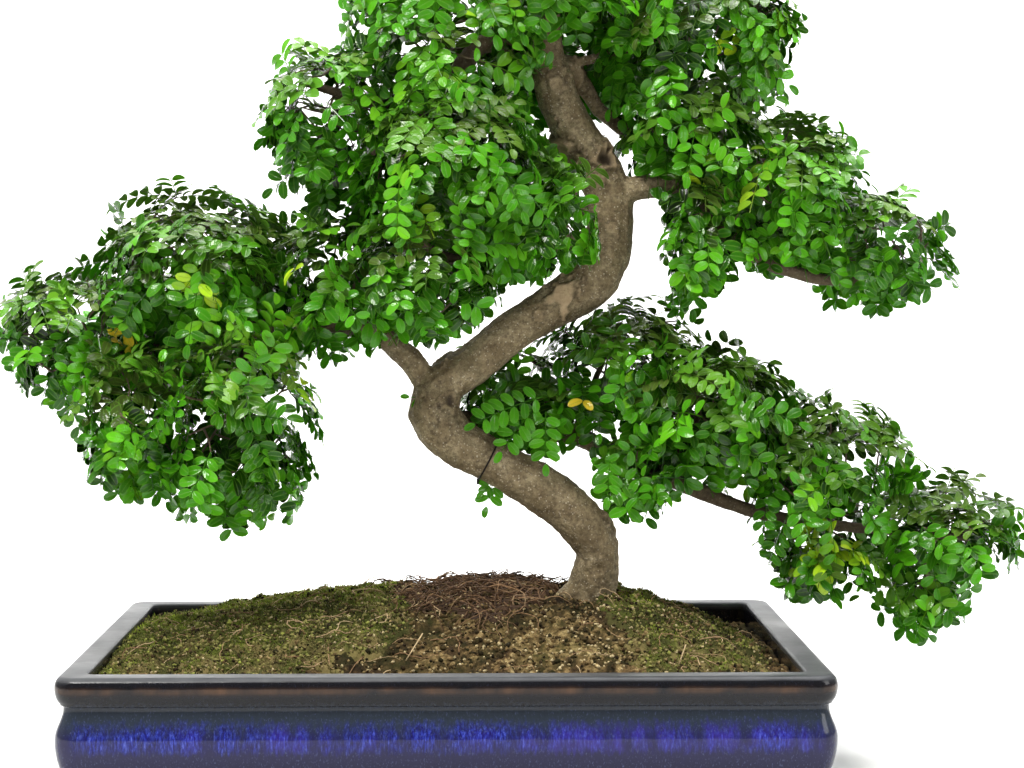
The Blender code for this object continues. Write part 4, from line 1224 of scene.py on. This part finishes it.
class Canopy:
    """Search trees over the pads and the wood, to keep leaflets in the pads and off the trunk."""

    def __init__(self, wood_tree):
        self.trees = {name: tree_of(name) for name in PADS}
        self.boxes = {name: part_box(name) for name in PADS}
        self.wood = wood_tree
        self.trunk = tree_of("trunk")
        stems = [vertex.co.copy() for name in BRANCHES + ["trunk"]
                 for vertex in nodes[name].data.vertices]
        self.stems = kdtree.KDTree(len(stems))
        for index, point in enumerate(stems):
            self.stems.insert(point, index)
        self.stems.balance()

    def near_pads(self, point, room):
        """Pads whose box comes within a distance of the point."""
        for name, (low, high) in self.boxes.items():
            if all(low[axis] - room < point[axis] < high[axis] + room for axis in range(3)):
                yield name

    def depth(self, name, point):
        """How deep a point lies in a pad; negative outside it."""
        hit, normal, _, far = self.trees[name].find_nearest(point)
        return far if (point - hit).dot(normal) < 0 else -far

    def inner(self, name, point):
        """Whether a point just outside one pad lies in another pad or against the wood."""
        if self.wood.find_nearest(point)[3] < 3 * MM:
            return True
        return any(self.depth(other, point) > 0 for other in self.near_pads(point, 0) if other != name)

    def shade(self, point):
        """Painted shade for leaflets: 0 at the pads' surface and beyond, 1 deep inside them."""
        deepest = max([self.depth(name, point) for name in self.near_pads(point, 0)], default=0.0)
        return clamp(deepest / DARK_DEPTH)

    def allows(self, point, reach):
        """Whether a point lies near enough to the pads, and hides nothing that shows from the front."""
        if in_windows(point, OPEN_AIR):
            return False
        if not any(self.depth(name, point) > -reach for name in self.near_pads(point, reach)):
            return False
        sight = (point - VIEWPOINT).normalized()
        if self.trunk.ray_cast(point, sight, TRUNK_SIGHT)[0] is not None:
            return in_windows(point, TRUNK_COVERED)
        return True

    def before_limb(self, point):
        """Whether a point hides a limb that shows from the front."""
        if not in_windows(point, LIMBS_SHOW):
            return False
        sight = (point - VIEWPOINT).normalized()
        return self.wood.ray_cast(point, sight, LIMB_SIGHT)[0] is not None


def add_leaflet(batch, base, along, normal, size, tint):
    """One leaflet from its base along a direction, its upper face towards the normal."""
    along = along.normalized()
    side = normal.cross(along).normalized()
    over = along.cross(side)
    scale = np.array([LEAFLET_LENGTH * size, LEAFLET_WIDTH * size, LEAFLET_LENGTH * size])
    turned = (LEAFLET_POINTS * scale) @ np.array([along, side, over])
    batch.add(turned + np.array(base), LEAFLET_FACES, tint=tint, blade=LEAFLET_COORDS)


def leaflet_tint(tint, point, rng):
    """A leaflet's own colour: its frond's, or lime or yellow in the places that have them."""
    age, bright, top_glow_and_yellowing = tint
    for middle, radius in LIME_PLACES:
        if (point - place(*middle)).length < radius * MM and rng.random() < 0.6:
            return rng.uniform(0.86, 1.0), rng.uniform(0.6, 0.9), 0.0
    for middle, radius in YELLOW_PLACES:
        if (point - place(*middle)).length < radius * MM and rng.random() < 0.5:
            return 0.9, 0.8, 1.0
    return clamp(age + rng.gauss(0, 0.06)), clamp(bright + rng.gauss(0, 0.09)), top_glow_and_yellowing


def frond_path(base, heading, normal, pairs, size, droop, rng, allows):
    """Places of a frond's leaflet pairs with its direction and upper side at each."""
    along = heading.normalized()
    point = base + along * PAIR_STEP * size * 0.6
    path = []
    for _ in range(pairs + 1):
        along = (along + DOWN * droop + Vector([rng.gauss(0, 0.03) for _ in range(3)])).normalized()
        normal = (normal - along * normal.dot(along)).normalized()
        if not allows(point):
            break
        path.append((point, along, normal))
        point = point + along * PAIR_STEP * size * rng.uniform(0.92, 1.05)
    return path


def add_frond(batch, base, heading, normal, pairs, size, droop, rng, tint, allows, hides):
    """A pinnate leaf: a thin bending stalk, pairs of leaflets and one at its tip. 0 if none fits."""
    path = frond_path(base, heading, normal, pairs, size, droop, rng, allows)
    if len(path) < 3 and pairs > 2 or len(path) < 2:
        return 0
    last = len(path) - 1
    for index, (point, along, upper) in enumerate(path):
        side = along.cross(upper)
        swell = 0.76 + 0.28 * math.sin(math.pi * (index + 0.9) / (last + 1.0))
        for hand in (-1, 1):
            if index == last and hand > 0:
                continue
            spread = 0.0 if index == last else math.radians(rng.gauss(62, 6))
            out = along * math.cos(spread) + side * hand * math.sin(spread)
            out = out + DOWN * rng.uniform(-0.03, 0.10)
            roll = upper + side * hand * rng.gauss(-0.10, 0.15) + along * rng.gauss(0, 0.12)
            tip = point + out * LEAFLET_LENGTH * size
            grow = size * swell * rng.uniform(0.92, 1.06)
            shade = leaflet_tint(tint, point, rng)
            if rng.random() < 0.04 or not allows(tip) or hides(tip) and rng.random() < 0.8:
                continue
            add_leaflet(batch, point + out * 0.4 * MM, out, roll, grow, shade)
    stalk = [base] + [point for point, _, _ in path]
    radii = [(0.38 - 0.18 * index / len(stalk)) * MM for index in range(len(stalk))]
    points, faces = tube(stalk, radii, 4)
    batch.add(points, faces, tint=(min(1, tint[0] + 0.1), 0.35, tint[2]), blade=(0.5, 0.5, 0))
    return 1


def pad_sites(name, canopy, spacing, rng):
    """Spread places over the outer side of a pad, with the direction that faces out there."""
    mesh = nodes[name].data
    mesh.calc_loop_triangles()
    triangles = [[mesh.vertices[corner].co for corner in item.vertices]
                 for item in mesh.loop_triangles]
    areas = [((b - a).cross(c - a)).length / 2 for a, b, c in triangles]
    low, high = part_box(name)
    centre = (low + high) / 2
    half = (high - low) / 2
    chosen = []
    tries = int(sum(areas) / spacing ** 2 * 9)
    for a, b, c in rng.choices(triangles, weights=areas, k=tries):
        u, v = rng.random(), rng.random()
        if u + v > 1:
            u, v = 1 - u, 1 - v
        point = a + (b - a) * u + (c - a) * v
        if any((point - other).length < spacing for other, _ in chosen):
            continue
        radial = point - centre
        outward = Vector([radial[axis] / half[axis] ** 2 for axis in range(3)]).normalized()
        if canopy.inner(name, point + outward * 5 * MM):
            continue
        chosen.append((point, outward))
    return chosen


def grow_twigs(batch, hub, tips, rng):
    """Join tips to the hub one by one, each to the nearest twig that is already there."""
    grown = [hub]
    for tip in sorted(tips, key=lambda point: (point - hub).length):
        start = min(grown, key=lambda point: (point - tip).length + 0.35 * (point - hub).length)
        length = (tip - start).length
        steps = max(2, int(length / (9 * MM)))
        sway = Vector((rng.gauss(0, 1), rng.gauss(0, 1), rng.gauss(0, 0.6))) * length * 0.09
        points = []
        for step in range(steps + 1):
            share = step / steps
            points.append(start.lerp(tip, share) + sway * math.sin(math.pi * share))
        grown += points[1:]
        thick = (0.5 + 0.014 * length / MM) * MM
        radii = [thick * (1 - 0.5 * step / steps) for step in range(steps + 1)]
        batch.add(*tube(points, radii, 5), wood=(0.8, 0, 0))


def frond_tint(point, outward, shade, rng):
    """Age, painted light and the blue tint of a frond: a painted olive glow on the tops, and painted
    shade that makes it dark inside and underneath.
    """
    age = 0.46 + 0.13 * rng.gauss(0, 1) + 0.18 * clouds(point, 60 * MM, 2)
    # Painted light and shade: a little limer on the tops, darker deep in the pad.
    age += 0.08 * outward.z - 0.25 * shade
    # Painted light: the olive glow of top-facing fronds.
    olive = 0.42 * max(0.0, outward.z - 0.25) / 0.75 * rng.uniform(0.2, 1.5)
    # Painted shade: darker deep in the pad and on undersides.
    bright = 0.84 - 0.86 * shade + 0.13 * rng.gauss(0, 1) + 0.10 * min(0.0, outward.z)
    return min(0.84, max(0.0, age)), clamp(bright), min(0.45, olive)


def rosette(batch, tip, outward, hub, small, rng, canopy):
    """Fronds at a twig's end: some radiate, most run on away from the hub. How many were made."""
    steep = 1 - max(0.0, outward.z)
    under = max(0.0, -outward.z)
    away = (tip - hub).normalized()
    flow = away * 0.8 + DOWN * (0.10 + 0.50 * steep) + Vector((0, -0.25, 0)) * steep
    flow = flow - outward * flow.dot(outward)
    if flow.length < 0.1:
        flow = outward.orthogonal()
    flow.normalize()
    over = outward.cross(flow)
    count = rng.choice((2, 3)) if small else rng.choice((3, 4, 4, 5))
    turn = rng.uniform(0, math.tau)
    made = 0
    for number in range(count):
        angle = rng.gauss(0, 0.85) if rng.random() < 0.55 else turn + math.tau * number / count
        steepest = 30 if outward.z > 0.5 else 42
        rise = math.radians(rng.uniform(4, steepest) + 45 * under * rng.random())
        heading = (flow * math.cos(angle) + over * math.sin(angle)) * math.cos(rise)
        heading += outward * math.sin(rise) + DOWN * (0.05 + 0.18 * steep)
        normal = outward * (1 - under) + Vector((away.x, away.y - 0.9, 0)) * under + UP * 0.25
        normal += Vector([rng.gauss(0, 0.20) for _ in range(3)])
        heading.normalize()
        normal = (normal - heading * normal.dot(heading)).normalized()
        hanging = max(0.0, -heading.z) * steep
        most = REACH_MOST + (REACH_HANGING - REACH_MOST) * hanging
        reach = rng.uniform(REACH_LEAST + 0.5 * (most - REACH_LEAST) * hanging, most)
        pairs = rng.choice((3, 3, 4, 4, 5, 5, 6)) + (rng.random() < 0.8 * hanging)
        middle = tip + heading * pairs * PAIR_STEP * 0.5
        # Painted shade: fronds deep in a pad get darker tints.
        tint = frond_tint(middle, outward, canopy.shade(middle), rng)
        made += add_frond(batch, tip, heading, normal, pairs, rng.uniform(0.84, 1.05),
                          rng.uniform(0.02, 0.12), rng, tint,
                          lambda point, reach=reach: canopy.allows(point, reach), canopy.before_limb)
    return made


# Fronds that grow straight from the trunk: base in millimetres from the middle of the tray's
# underside, heading, pairs of leaflets, size.
SPRIGS = (
    ((25, -13, 158), (-0.30, -0.4, -1.0), 2, 0.80),
    ((25, -13, 157), (-0.9, -0.4, -0.6), 1, 0.66),
    ((-15, -14, 205), (-0.9, -0.3, 0.15), 1, 0.62),
    ((52, -22, 206), (-1.0, -0.25, -0.25), 6, 0.92),
    ((50, -22, 202), (-0.75, -0.3, -0.75), 5, 0.88),
    ((54, -24, 198), (-0.05, -0.2, -1.0), 4, 0.90),
    ((90, -22, 172), (-0.10, -0.2, -1.0), 3, 0.86),
    ((104, -22, 170), (0.12, -0.2, -1.0), 3, 0.86),
)


def build_sprigs():
    """Small fronds under the bend, beside the elbow and over the crook, each on its own."""
    rng = random.Random(SPRIG_SEED)
    leaves = Batch("tint", "blade")
    front = Vector((0, -1, 0.2))
    for base, heading, pairs, size in SPRIGS:
        add_frond(leaves, place(*base), Vector(heading), front, pairs, size, 0.05, rng,
                  (0.45, 0.7, 0.0), lambda point: True, lambda point: False)
    return leaves


def build_foliage(wood_tree):
    """Leaves for every pad, each pad its own piece, and the twigs that carry them."""
    canopy = Canopy(wood_tree)
    twigs = Batch("wood")
    for number, name in enumerate(PADS):
        rng = random.Random(PAD_SEED + number)
        if name == "foliage_trunk_sprig":
            leaves = build_sprigs()
        else:
            small = name == "foliage_right_low_hanging"
            spacing = SMALL_TIP_SPACING if small else TIP_SPACING
            low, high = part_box(name)
            hub = canopy.stems.find((low + high) / 2)[0]
            leaves = Batch("tint", "blade")
            tips = []
            for point, outward in pad_sites(name, canopy, spacing, rng):
                tip = point - outward * rng.uniform(3, 20) * MM
                if rosette(leaves, tip, outward, hub, small, rng, canopy):
                    tips.append(tip)
            grow_twigs(twigs, hub, tips, rng)
        piece = leaves.build(name.replace("foliage", "leaves"), LEAF)
        piece.data.set_sharp_from_angle(angle=math.radians(60))
        declare(piece, (name,))
    declare(twigs.build("twigs", BARK))


# ---------------------------------------------------------------- stage, light and camera


def plain_look(name, colour, roughness):
    look = Look(name, roughness=roughness, specular=0.2)
    return look.finish(look.mix(look.noise(0.4, 2.0), colour, tuple(0.985 * value for value in colour)))


def build_stage():
    """Pale floor that curves up into a pale backdrop."""
    work = bmesh.new()
    front, back, bend, high, half = -6.0, 1.9, 0.6, 5.0, 6.0
    section = [(front, 0.0), (back - bend, 0.0)]
    for step in range(1, 13):
        angle = math.pi / 2 * step / 12
        section.append((back - bend + bend * math.sin(angle), bend - bend * math.cos(angle)))
    section.append((back, high))
    rows = [[work.verts.new((x, y, z)) for y, z in section] for x in (-half, half)]
    for index in range(len(section) - 1):
        work.faces.new((rows[0][index], rows[1][index], rows[1][index + 1], rows[0][index + 1]))
    mesh = bpy.data.meshes.new("backdrop")
    work.to_mesh(mesh)
    work.free()
    mesh.shade_smooth()
    mesh.materials.append(plain_look("backdrop", (0.86, 0.86, 0.85), 0.9))
    floor = put("backdrop", mesh)


def add_light(name, location, target, size, power, colour=(1, 1, 1)):
    lamp = bpy.data.lights.new(name, "AREA")
    lamp.shape = "RECTANGLE"
    lamp.size, lamp.size_y = size
    lamp.energy = power
    lamp.color = colour
    holder = put(name, lamp)
    holder.location = location
    holder.rotation_euler = (Vector(target) - Vector(location)).to_track_quat("-Z", "Y").to_euler()


def build_world():
    """Soft pale surroundings, dimmer on the side that the tray's front faces."""
    world = bpy.data.worlds.new("studio")
    world.use_nodes = True
    tree = world.node_tree
    split = tree.nodes.new("ShaderNodeSeparateXYZ")
    tree.links.new(tree.nodes.new("ShaderNodeTexCoord").outputs["Generated"], split.inputs["Vector"])
    shade = tree.nodes.new("ShaderNodeMapRange")
    shade.inputs["From Min"].default_value = -0.9
    shade.inputs["From Max"].default_value = 0.2
    shade.inputs["To Min"].default_value = 0.20
    shade.inputs["To Max"].default_value = 0.70
    tree.links.new(split.outputs["Y"], shade.inputs["Value"])
    background = tree.nodes["Background"]
    background.inputs["Color"].default_value = (0.99, 0.99, 1.0, 1)
    tree.links.new(shade.outputs["Result"], background.inputs["Strength"])
    bpy.context.scene.world = world


def build_lights():
    middle = place(0, 0, 240)
    add_light("key", middle + Vector((-0.9, -1.2, 1.9)), middle, (0.8, 0.6), 58, (1.0, 0.985, 0.94))
    add_light("top", middle + Vector((0.2, 0.1, 1.9)), middle, (1.4, 1.0), 36)
    add_light("fill", middle + Vector((1.7, -1.0, 0.7)), middle, (0.9, 0.9), 12)
    add_light("wall", middle + Vector((0.0, 0.7, 1.6)), middle + Vector((0, 1.9, 0.3)), (3.0, 0.8), 60)
    build_world()


def build_camera():
    camera = bpy.data.cameras.new("camera")
    camera.sensor_width = 36
    camera.lens = 81.8
    camera.clip_start = 0.05
    camera.clip_end = 50
    holder = put("camera", camera)
    holder.location = VIEWPOINT
    holder.rotation_euler = (math.pi / 2 - VIEW_DOWN, 0, VIEW_TURN)
    bpy.context.scene.camera = holder


# ---------------------------------------------------------------- whole scene

BARK = bark_material()
LEAF = leaf_material()

build_camera()
build_tray()
ground = Ground()
for name, (blades, seed) in MOSS.items():
    build_moss(name, ground, blades, seed)
build_roots(ground)
build_soil(ground)
wood_tree = build_wood()
build_wire(wood_tree)
build_foliage(wood_tree)
build_stage()
build_lights()

screen_look = plain_material("screen", (0.008, 0.008, 0.009), (0.020, 0.020, 0.022), 3 * MM, 0.5,
                             0.05 * MM)
grit_look = plain_material("grit", (0.10, 0.075, 0.05), (0.30, 0.24, 0.17), 4 * MM, 0.95, 1.5 * MM)
for name, material in (("drain_screen_left", screen_look), ("drain_screen_right", screen_look),
                       ("drainage_grit", grit_look)):
    nodes[name].data.materials.clear()
    nodes[name].data.materials.append(material)

bpy.context.scene.view_settings.view_transform = "Standard"
